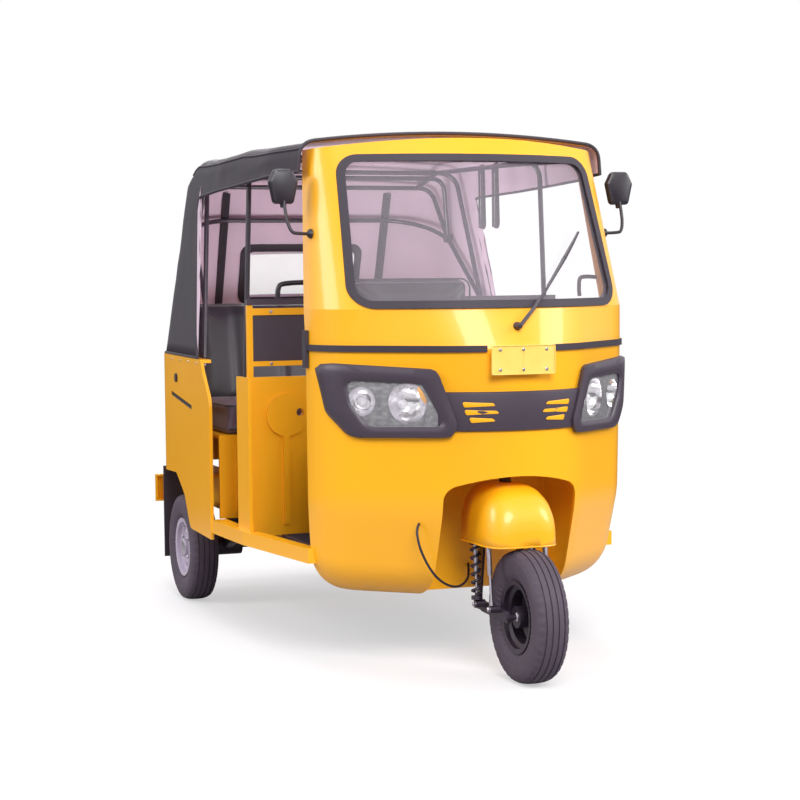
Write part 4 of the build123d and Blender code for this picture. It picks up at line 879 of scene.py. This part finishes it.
class RICKSHAW_OT_tyres(Piece, bpy.types.Operator):
    """Tyres with ribbed treads"""
    bl_idname = "rickshaw.tyres"
    bl_label = "Tyres"

    # half section: distance from the middle, radius
    CROWN = ((0, 207.4), (7.4, 207.3), (12.6, 207.2), (20, 206.6), (27.4, 205.7), (32.6, 204.6), (38, 202.8),
             (46, 198.6))
    WALL = ((49.4, 193), (51.4, 186), (52.2, 183), (52.9, 182), (53.3, 176), (53.9, 165), (53.4, 152),
            (52.2, 149), (52.0, 146), (50.4, 137), (46, 127), (39.5, 119), (37.2, 112), (36.5, 103))
    GROOVES = ((7.4, 12.6), (27.4, 32.6))
    SIDES, SIPE = 168, 4                # steps round the tyre, and steps from one shoulder cut to the next

    def build(self, context):
        depth = sizes().tread_depth * 1000
        half = []
        for i, (x, r) in enumerate(self.CROWN):
            inner = any(abs(x - a) < 0.01 for a, _ in self.GROOVES)
            outer = any(abs(x - b) < 0.01 for _, b in self.GROOVES)
            if outer:
                half.append((x - 0.7, r - depth))
            half.append((x, r))
            if inner:
                half.append((x + 0.7, r - depth))
        half += list(self.WALL)
        profile = [(-x, r) for x, r in reversed(half)] + half[1:]
        for body, x, station, tyre in (("front_wheel", 0.0, 0.0, "front_tyre"),
                                       ("rear_wheel_left", REAR_TRACK, WHEELBASE, "rear_left_tyre"),
                                       ("rear_wheel_right", -REAR_TRACK, WHEELBASE, "rear_right_tyre")):
            shape, loops = Shape(), []
            for dx, r in profile:
                loop = []
                for k in range(self.SIDES):
                    cut = depth * 0.8 if 36 < abs(dx) < 50.5 and k % self.SIPE == 0 else 0.0
                    angle = 2 * math.pi * (k + 0.3 * math.copysign(1, dx)) / self.SIDES
                    reach = r - cut
                    loop.append(at(x + dx, station + reach * math.cos(angle), AXLE + reach * math.sin(angle)))
                loops.append(loop)
            shape.loft(loops + [loops[0]], ends=(False, False))
            shape.make("ribbed_" + tyre, body, "tyre", "tyre_rubber_cured", hard=32.0, replaces=(tyre,))
            self.hub(body, x, station, tyre)

    def hub(self, body, x, station, tyre):
        """Cap, wheel nuts and valve on the dished side, and a plain nut on the other."""
        way = -1 if body == "rear_wheel_right" else 1
        metal = Shape()
        axle = at(x, station, AXLE)
        out = Vector((way, 0, 0))
        for k in range(4):
            angle = math.pi / 4 + k * math.pi / 2
            seat = axle + out * 0.0292 + Vector((0, math.cos(angle), math.sin(angle))) * 0.050
            metal.bolt(seat, out, 0.008)
        metal.turned([(0.036, 0.031), (0.041, 0.0305), (0.0435, 0.024), (0.0445, 0.012), (0.0445, 0.001)],
                     axle, out, 40)
        metal.turned([(-0.0435, 0.001), (-0.0435, 0.014), (-0.039, 0.016)], axle, out, 6)
        valve = axle + out * 0.028 + Vector((0, 0.0, 0.078))
        metal.tube([valve, valve + out * 0.012 + Vector((0, 0, 0.004)),
                    valve + out * 0.016 + Vector((0, 0, 0.008))], 0.0028, 8)
        metal.make("nuts_" + tyre, body, "bright_steel", "steel_zinc_plated")


class RICKSHAW_OT_front_springs(Piece, bpy.types.Operator):
    """Coil springs and dampers of the leading links"""
    bl_idname = "rickshaw.front_springs"
    bl_label = "Front springs"

    def build(self, context):
        coils, dampers = Shape(), Shape()
        turns = sizes().coil_turns

        def one(side):
            x = side * 96.0
            top, foot = at(x, 195, 434), at(x, 178, 240)
            axis = foot - top
            length = axis.length
            axis.normalize()
            across = axis.orthogonal().normalized()
            up = axis.cross(across)
            path, count = [], turns * 20
            for k in range(count + 1):
                share = k / count
                down = 0.018 + (length - 0.036) * min(1.0, max(0.0, (share - 0.06) / 0.88))
                angle = 2 * math.pi * turns * share
                path.append(top + axis * down + (across * math.cos(angle) + up * math.sin(angle)) * 0.0142)
            coils.tube(path, 0.0042, 8)
            for spot in (top + axis * 0.006, foot - axis * 0.006):
                coils.turned([(-0.007, 0.012), (-0.006, 0.018), (0.006, 0.018), (0.007, 0.012)], spot, axis, 32)
            rod = ((0.0, 0.008), (0.55, 0.008), (0.55, 0.0045), (1.0, 0.0045))
            dampers.turned([(length * d, r) for d, r in rod], top, axis, 20)
            rod_top, rod_foot = at(x, 85, 434), at(x, 60, 238)
            reach = (rod_foot - rod_top).length
            rod = ((0.5, 0.008), (0.53, 0.0065), (0.53, 0.0045), (0.94, 0.0045), (0.94, 0.0075), (1.0, 0.0075))
            dampers.turned([(0.0, 0.007), (0.006, 0.008)] + [(reach * d, r) for d, r in rod],
                           rod_top, rod_foot - rod_top, 24)
            for station, radius in ((178, 0.013), (60, 0.0115)):
                coils.tube([at(side * a, station, PIN_Z) for a in (70, 104)], radius, 20)
            for station in (60, 178):
                dampers.bolt(at(side * 104, station, PIN_Z), (side, 0, 0), 0.0075)
        both_sides(one)
        coils.make("front_coils", "steering", "black_steel", "steel_dipped_black", replaces=("front_springs",))
        dampers.make("front_dampers", "steering", "bright_steel", "steel_zinc_plated")


# route of the front brake cable: x, station, z
CABLE = (
    (-268, 214, 497), (-299, 180, 482), (-296, 171, 432), (-281, 172, 392), (-258, 176, 350), (-229, 184, 315),
    (-192, 204, 290), (-150, 236, 274), (-110, 276, 270), (-74, 320, 276), (-44, 368, 290), (-24, 424, 316),
)
CABLE_R = 4.0


class RICKSHAW_OT_brake_cable(Piece, bpy.types.Operator):
    """The only free cord: the front brake cable in its sheath, its ends capped"""
    bl_idname = "rickshaw.brake_cable"
    bl_label = "Brake cable"

    def build(self, context):
        curve = bpy.data.curves.new("brake_cable_sheath", "CURVE")
        curve.dimensions = "3D"
        spline = curve.splines.new("NURBS")
        spline.points.add(len(CABLE) - 1)
        for point, (x, station, z) in zip(spline.points, CABLE):
            point.co = (*at(x, station, z), 1.0)
        spline.order_u = 3
        spline.use_endpoint_u = True
        spline.resolution_u = 10
        curve.bevel_depth, curve.bevel_resolution = CABLE_R * MM, 4
        curve.use_fill_caps = True
        curve.materials.append(FINISHES["epdm_extruded_black"])
        sheath = settle(bpy.data.objects.new("brake_cable_sheath", curve), "body", ("brake_cable",))

    def line_length(self):
        """Length of the quadratic spline through the route's points."""
        points = [at(*row) for row in CABLE]
        stops = [points[0]] + [(a + b) / 2 for a, b in zip(points[1:-1], points[2:-1])] + [points[-1]]
        total = 0.0
        for a, control, b in zip(stops, points[1:-1], stops[1:]):
            before = a
            for k in range(1, 21):
                t = k / 20
                here = a * (1 - t) ** 2 + control * 2 * t * (1 - t) + b * t * t
                total += (here - before).length
                before = here
        return total


# ------------------------------------------------------------------ pads
class RICKSHAW_OT_pads(Piece, bpy.types.Operator):
    """Foam pads in leathercloth: swollen in their covers, with sewn channels and piping"""
    bl_idname = "rickshaw.pads"
    bl_label = "Seat pads"

    CHANNELS = [i * 0.19 for i in range(-2, 3)]         # X of the bench's sewn lines
    FILL, PRESSURE, FRAMES = 0.85, 4.0, 20

    def swollen(self, node, name, voxel, held, shrink):
        source = NODES[node]
        mesh = source.data.copy()
        mesh.transform(source.matrix_world)
        mesh.materials.clear()
        pad = bpy.data.objects.new(name, mesh)
        bpy.context.scene.collection.objects.link(pad)
        net = pad.modifiers.new("even net", "REMESH")
        net.mode, net.voxel_size = "VOXEL", voxel
        self.bake(pad)
        rest = []
        for v in pad.data.vertices:
            fixed = held(v.normal)
            v.co -= v.normal * (0.0 if fixed else shrink)
            rest.append((v.co.copy(), fixed))
        group = pad.vertex_groups.new(name="held")
        group.add([i for i, (_, fixed) in enumerate(rest) if fixed], 1.0, "REPLACE")
        cloth = pad.modifiers.new("filling", "CLOTH")
        cloth.settings.use_pressure = True
        cloth.settings.uniform_pressure_force = self.PRESSURE
        cloth.settings.effector_weights.gravity = 0.0
        cloth.settings.vertex_group_mass = "held"
        cloth.settings.quality = 5
        cloth.collision_settings.use_collision = False
        cloth.point_cache.frame_start, cloth.point_cache.frame_end = 1, self.FRAMES
        for frame_number in range(1, self.FRAMES + 1):
            bpy.context.scene.frame_set(frame_number)
        self.bake(pad)
        bpy.context.scene.frame_set(1)
        cap = sizes().seat_crown
        for v, (start, fixed) in zip(pad.data.vertices, rest):
            step = v.co - start
            if fixed:
                v.co = start
            elif step.length > cap:
                v.co = start + step * (cap / step.length)
        for _ in range(3):
            self.even(pad.data)
        return pad

    def even(self, mesh):
        """One soft smoothing pass."""
        work = bmesh.new()
        work.from_mesh(mesh)
        bmesh.ops.smooth_vert(work, verts=work.verts, factor=0.5,
                              use_axis_x=True, use_axis_y=True, use_axis_z=True)
        work.to_mesh(mesh)
        work.free()

    def bake(self, obj):
        """Replaces the object's mesh by what its modifiers give."""
        made = bpy.data.meshes.new_from_object(obj.evaluated_get(bpy.context.evaluated_depsgraph_get()))
        obj.modifiers.clear()
        obj.data = made

    def channels(self, pad, lines, way, width, depth):
        """Sewn lines at these X, pressed into the faces that look along way."""
        for v in pad.data.vertices:
            face = max(0.0, v.normal.dot(way))
            near = min(abs(v.co.x - line) for line in lines)
            v.co -= way * depth * face * math.exp(-(near / width) ** 2)

    def finish(self, pad, node, finish):
        soft = pad.modifiers.new("leathercloth", "SUBSURF")
        soft.levels = soft.render_levels = 1
        self.bake(pad)
        pad.data.materials.append(FINISHES[finish])
        pad.data.shade_smooth()
        settle(pad, "body", (node,))

    def build(self, context):
        for node, name, voxel, shrink, way, finish, held in (
            ("passenger_cushion", "bench_cushion", 0.012, 0.009, Vector((0, 0, 1)),
             "leathercloth_embossed_grey", lambda n: n.z < -0.6),
            ("passenger_backrest", "bench_backrest", 0.012, 0.009, Vector((0, -1, 0)),
             "leathercloth_embossed_dark", lambda n: n.y > 0.6),
            ("driver_seat_pads", "driver_pads", 0.008, 0.007, None,
             "leathercloth_embossed_dark", lambda n: n.z < -0.6 or n.y > 0.8),
        ):
            pad = self.swollen(node, name, voxel, held, shrink)
            if way:
                self.channels(pad, self.CHANNELS, way, 0.016, 0.012)
            self.finish(pad, node, finish)

        piping = Shape()
        half, front, rear, low, top = 556.0, 1427.0, 1878.0, 692.0, 792.0
        for z in (low + 14, top):
            outline = round_box(-half, half, front, rear, 44)
            piping.tube([at(a, b, z) for a, b in inset(outline, 1.0)], 0.004, 8, ring=True)
        piping.tube([at(a, b, 700) for a, b in round_box(-224, 224, 796, 1012, 32)], 0.0035, 8, ring=True)
        piping.tube([at(a, 993, b) for a, b in round_box(-224, 224, 936, 1250, 34)], 0.0035, 8, ring=True)
        piping.make("seat_piping", "body", "seat_vinyl", "leathercloth_embossed_dark")


# ------------------------------------------------------------------ fittings
MIRROR_HEAD = ((550, 1570, 14), (570, 1610, 16), (630, 1610, 16), (650, 1570, 14), (634, 1498, 14),
               (566, 1498, 14))
MIRROR_STALK = ((520, 520, 1401), (560, 517, 1402), (585, 518, 1408), (597, 530, 1440), (600, 548, 1490),
                (600, 562, 1530))
PIVOT, ELBOW, JOINT = (0, 1105), (128, 1220), (230, 1311)       # wiper arm: x and height
HEEL, TIP = (138, 1228), (330, 1400)                            # ends of the blade


def on_cab_line(start, end, steps, out, fall=0.0):
    """Line over the cab's skin between two (x, height) spots, sinking by fall at each step."""
    return [on_cab(mix(start[0], end[0], k / steps), mix(start[1], end[1], k / steps), out - k * fall)
            for k in range(steps + 1)]


class RICKSHAW_OT_mirrors(Piece, bpy.types.Operator):
    """Moulded mirror heads on bent stalks, with their glasses"""
    bl_idname = "rickshaw.mirrors"
    bl_label = "Mirrors"

    def build(self, context):
        heads, glasses = Shape(), Shape()

        def one(side):
            outline = [(side * a, b) for a, b in rounded(MIRROR_HEAD)]
            heads.plate(outline, 549, 581, 10, front_view)
            glasses.plate(inset(outline, 7), 580.6, 582.0, 0.4, front_view)
            stalk = smooth_path([at(side * x, station, z) for x, station, z in MIRROR_STALK])
            heads.tube(stalk, 0.0055, 12)
            heads.turned([(0.0, 0.016), (0.008, 0.015), (0.014, 0.008)], stalk[0], (side, 0, 0), 24)
            heads.turned([(0.0, 0.009), (0.012, 0.011), (0.02, 0.009)], at(side * 600, 564, 1486),
                         (0, 0, 1), 20)
        both_sides(one)
        heads.make("mirror_heads", "body", "black_plastic", "polypropylene_moulded_black",
                   replaces=("mirrors",))
        glasses.make("mirror_glasses", "body", "lamp_chrome", "glass_silvered")


class RICKSHAW_OT_wiper(Piece, bpy.types.Operator):
    """Wiper arm, blade holder and blade"""
    bl_idname = "rickshaw.wiper"
    bl_label = "Wiper"

    def build(self, context):
        wiper = Shape()
        foot = on_cab(*PIVOT, 3)
        wiper.turned([(-0.004, 0.013), (0.004, 0.013), (0.010, 0.009), (0.022, 0.0085), (0.026, 0.005)], foot,
                     on_cab(*PIVOT, 30) - foot, 28)
        wiper.tube(on_cab_line(PIVOT, ELBOW, 6, 22), [0.0065 - 0.0003 * k for k in range(7)], 10)
        wiper.tube(on_cab_line(ELBOW, JOINT, 6, 22, 0.6), 0.0038, 8)
        wiper.tube(on_cab_line(HEEL, TIP, 12, 14),
                   [0.0036 + 0.0028 * math.sin(math.pi * k / 12) for k in range(13)], 8)
        wiper.tube(on_cab_line(HEEL, TIP, 12, 9.5), 0.0026, 6, finish=1)
        wiper.turned([(-0.006, 0.006), (0.008, 0.006)], on_cab(*JOINT, 14), (0.75, 0, 0.66), 12)
        wiper.make("wiper_set", "body", "black_plastic", "steel_dipped_black", "epdm_extruded_black",
                   replaces=("wiper",))


class RICKSHAW_OT_grips(Piece, bpy.types.Operator):
    """Ribbed grips on the handlebar"""
    bl_idname = "rickshaw.grips"
    bl_label = "Handlebar grips"

    def build(self, context):
        grips = Shape()

        def one(side):
            start, end = at(side * 192, 393.5, 982), at(side * 305, 441.5, 982)
            length = (end - start).length
            profile = [(-0.003, 0.012), (-0.002, 0.02), (0.003, 0.02), (0.004, 0.0155)]
            for k in range(14):
                middle = 0.01 + (length - 0.02) * k / 13
                profile += [(middle - 0.0025, 0.0155), (middle - 0.0018, 0.0168), (middle + 0.0018, 0.0168),
                            (middle + 0.0025, 0.0155)]
            profile += [(length, 0.0155), (length + 0.0015, 0.013), (length + 0.002, 0.001)]
            grips.turned(profile, start, end - start, 24)
            knee = at(side * 150, 375, 982)
            grips.turned([(-0.016, 0.012), (-0.014, 0.018), (0.014, 0.018), (0.016, 0.012)],
                         knee, end - start, 20)
        both_sides(one)
        grips.make("handlebar_grips", "steering", "rubber", "epdm_extruded_black")


class RICKSHAW_OT_tail(Piece, bpy.types.Operator):
    """Three-part tail lamps and the engine lid's handle"""
    bl_idname = "rickshaw.tail"
    bl_label = "Tail"

    def build(self, context):
        lamps = Shape()
        front, rear = 2431.5, 2437.3
        both_sides(lambda side: [
            lamps.plate([(side * a, b) for a, b in round_box(x0, x1, 373, 431, 3, 4)], front, rear, 1.5,
                        front_view, finish=finish)
            for x0, x1, finish in ((471, 503, 1), (504, 549, 0), (550, 574, 2))])
        lamps.make("tail_lenses", "body", "red_lens", "acrylic_moulded_red", "acrylic_moulded_amber",
                   "acrylic_moulded_white", replaces=("tail_lamps",))
        lid = NODES["engine_door"]
        face = max((lid.matrix_world @ Vector(corner)).y for corner in lid.bound_box)
        handle = Shape()
        handle.tube([Vector((x * MM, face + out * MM, 0.565)) for x, out in
                     ((-58, -2), (-57, 3), (-50, 5.5), (50, 5.5), (57, 3), (58, -2))], 0.0045, 10)
        for x in (-58, 58):
            handle.turned([(0.0, 0.013), (0.003, 0.012)], Vector((x * MM, face - 0.001, 0.565)), (0, 1, 0), 20)
        handle.make("lid_handle", "engine_lid", "black_plastic", "polypropylene_moulded_black")


class RICKSHAW_OT_floor_mats(Piece, bpy.types.Operator):
    """Ribbed rubber mats for the driver and the passengers"""
    bl_idname = "rickshaw.floor_mats"
    bl_label = "Floor mats"

    def build(self, context):
        mats = Shape()
        for half, front, rear in ((480, 490, 1040), (545, 1080, 1395)):
            outline = round_box(-half, half, front, rear, 20, 4)
            mats.plate(outline, 360.2, 364, 1.2, plan_view)
            for k in range(int((rear - front - 40) / 22) + 1):
                station = front + 20 + 22 * k
                mats.tube([at(x, station, 364) for x in (-half + 18, half - 18)], 0.0025, 6)
        mats.make("floor_mats", "body", "rubber", "epdm_extruded_black", hard=30.0)


class RICKSHAW_OT_cab_trim(Piece, bpy.types.Operator):
    """Grab bars and the small bolts of the partition and the tub"""
    bl_idname = "rickshaw.cab_trim"
    bl_label = "Cab trim"

    def build(self, context):
        bar, bolts = Shape(), Shape()
        bar.tube(smooth_path([at(x, 1062, z) for x, z in
                              ((-470, 1180), (-468, 1222), (-440, 1240), (-300, 1243), (-160, 1240),
                               (-132, 1222), (-130, 1180))], 4), 0.009, 12)
        bar.tube(smooth_path([at(*spot) for spot in ((512, 560, 1252), (470, 552, 1254), (446, 548, 1248),
                                                     (442, 548, 1215), (444, 548, 1188))], 4), 0.007, 10)
        bar.make("grab_bar", "body", "black_plastic", "polypropylene_moulded_black")
        for side in (-1, 1):
            for x in (110, 300, 500):
                for z in (962.5, 1143):
                    bolts.bolt(at(side * x, 1049.5, z), (0, -1, 0), 0.005)
            for station in (1450, 1600, 1750, 1900, 2050):
                half = 633 - (633 - 588) * (station - 1397) / 1003
                bolts.bolt(at(side * half, station, 945), (side, 0.045, 0), 0.005)
        bolts.make("cab_bolts", "body", "bright_steel", "steel_zinc_plated")


# ------------------------------------------------------------------ stage
CAMERA_AT = (-2.487, -6.676, 1.274)
CAMERA_LOOK = (0.349, 0.937)            # heading on the floor plane
CAMERA_PITCH, CAMERA_ROLL = -3.682, -0.576
LENS_MM, SENSOR_MM = 89.14, 36.0


class RICKSHAW_OT_stage(bpy.types.Operator):
    """Pale floor, soft studio lamps and the camera"""
    bl_idname = "rickshaw.stage"
    bl_label = "Studio"

    def execute(self, context):
        scene = context.scene
        scene.view_settings.view_transform = "Standard"
        camera = bpy.data.objects.new("camera", bpy.data.cameras.new("camera"))
        camera.data.lens, camera.data.sensor_width = LENS_MM, SENSOR_MM
        camera.data.clip_end = 200.0
        pitch, roll = math.radians(CAMERA_PITCH), math.radians(CAMERA_ROLL)
        flat = Vector((CAMERA_LOOK[0], CAMERA_LOOK[1], 0.0)).normalized()
        look = flat * math.cos(pitch) + Vector((0, 0, math.sin(pitch)))
        right = look.cross(Vector((0, 0, 1))).normalized()
        up = right.cross(look)
        right, up = right * math.cos(roll) + up * math.sin(roll), up * math.cos(roll) - right * math.sin(roll)
        turned = Matrix((right, up, -look)).transposed().to_4x4()
        camera.matrix_world = Matrix.Translation(CAMERA_AT) @ turned
        scene.collection.objects.link(camera)
        scene.camera = camera

        floor_mesh = bpy.data.meshes.new("studio_floor")
        reach = 60.0
        corners = [(-reach, -reach, 0), (reach, -reach, 0), (reach, reach, 0), (-reach, reach, 0)]
        floor_mesh.from_pydata(corners, [], [(0, 1, 2, 3)])
        floor = bpy.data.objects.new("studio_floor", floor_mesh)
        scene.collection.objects.link(floor)
        floor.data.materials.append(self.floor_finish())

        world = scene.world or bpy.data.worlds.new("studio")
        scene.world = world
        world.use_nodes = True
        tree = world.node_tree
        tree.nodes.clear()
        path = add(tree, "ShaderNodeLightPath").outputs
        seen = add(tree, "ShaderNodeMath", {0: path["Is Camera Ray"], 1: path["Is Transmission Ray"]},
                   operation="MAXIMUM")
        seen = add(tree, "ShaderNodeMath", {0: seen.outputs[0], 1: path["Is Glossy Ray"]}, operation="MAXIMUM")
        soft = add(tree, "ShaderNodeBackground", {"Color": linear("#F4F1F6"), "Strength": 0.55})
        white = add(tree, "ShaderNodeBackground", {"Color": (1, 1, 1, 1), "Strength": 1.0})
        both = add(tree, "ShaderNodeMixShader", {0: seen.outputs[0], 1: soft.outputs[0], 2: white.outputs[0]})
        add(tree, "ShaderNodeOutputWorld", {"Surface": both.outputs[0]})

        for name, place, target, size, watts in (
            ("key_softbox", (-1.0, -6.5, 4.6), (0.0, -0.6, 0.8), 3.6, 420.0),
            ("left_softbox", (5.0, -3.5, 3.4), (0.3, 0.0, 0.8), 3.0, 200.0),
            ("right_softbox", (-6.0, 0.5, 3.6), (0.0, 0.4, 0.8), 3.2, 190.0),
            ("top_softbox", (0.0, 1.0, 6.5), (0.0, 0.2, 0.5), 4.5, 170.0),
            ("rear_softbox", (1.5, 6.5, 3.5), (0.0, 0.8, 0.8), 3.0, 130.0),
            ("cabin_fill", (0.0, 0.15, 1.02), (0.0, 0.45, 1.6), 0.5, 9.0),
        ):
            lamp = bpy.data.lights.new(name, "AREA")
            lamp.shape, lamp.size, lamp.energy = "DISK", size, watts
            holder = bpy.data.objects.new(name, lamp)
            holder.location = place
            holder.rotation_euler = (Vector(target) - Vector(place)).to_track_quat("-Z", "Y").to_euler()
            scene.collection.objects.link(holder)
        return {"FINISHED"}

    def floor_finish(self):
        """Seamless studio paper: matt white, and never darker to the eye than pale grey."""
        made = bpy.data.materials.new("studio_paper")
        made.use_nodes = True
        tree = made.node_tree
        tree.nodes.clear()
        path = add(tree, "ShaderNodeLightPath")
        paper = add(tree, "ShaderNodeBsdfDiffuse", {"Color": linear("#F3F1F4")})
        glow = add(tree, "ShaderNodeEmission",
                   {"Color": (1, 1, 1, 1), "Strength": path.outputs["Is Camera Ray"]})
        place = add(tree, "ShaderNodeNewGeometry").outputs["Position"]
        reach = add(tree, "ShaderNodeVectorMath", {0: place}, operation="LENGTH")
        fade = add(tree, "ShaderNodeMapRange",
                   {"Value": reach.outputs["Value"], "From Min": 1.6, "From Max": 4.2,
                    "To Min": 0.5, "To Max": 1.0},
                   interpolation_type="SMOOTHSTEP")
        both = add(tree, "ShaderNodeMixShader", {0: fade.outputs[0], 1: paper.outputs[0], 2: glow.outputs[0]})
        add(tree, "ShaderNodeOutputMaterial", {"Surface": both.outputs[0]})
        return made


# ------------------------------------------------------------------ panel and registration
PIECES = tuple(Piece.__subclasses__())


class RICKSHAW_PT_panel(bpy.types.Panel):
    bl_idname = "RICKSHAW_PT_panel"
    bl_label = "Auto rickshaw"
    bl_space_type = "VIEW_3D"
    bl_region_type = "UI"
    bl_category = "Rickshaw"

    def draw(self, context):
        for group in (context.scene.rickshaw_colours, context.scene.rickshaw_sizes):
            box = self.layout.box()
            for name in group.__annotations__:
                box.prop(group, name)
        for piece in PIECES + (RICKSHAW_OT_stage,):
            self.layout.operator(piece.bl_idname)


CLASSES = (RickshawColours, RickshawSizes) + PIECES + (RICKSHAW_OT_stage, RICKSHAW_PT_panel)


def register():
    for kind in CLASSES:
        bpy.utils.register_class(kind)
    bpy.types.Scene.rickshaw_colours = PointerProperty(type=RickshawColours)
    bpy.types.Scene.rickshaw_sizes = PointerProperty(type=RickshawSizes)


def unregister():
    del bpy.types.Scene.rickshaw_sizes
    del bpy.types.Scene.rickshaw_colours
    for kind in reversed(CLASSES):
        bpy.utils.unregister_class(kind)


def main():
    register()
    for piece in PIECES + (RICKSHAW_OT_stage,):
        group, name = piece.bl_idname.split(".")
        getattr(getattr(bpy.ops, group), name)()


if __name__ == "__main__":
    main()
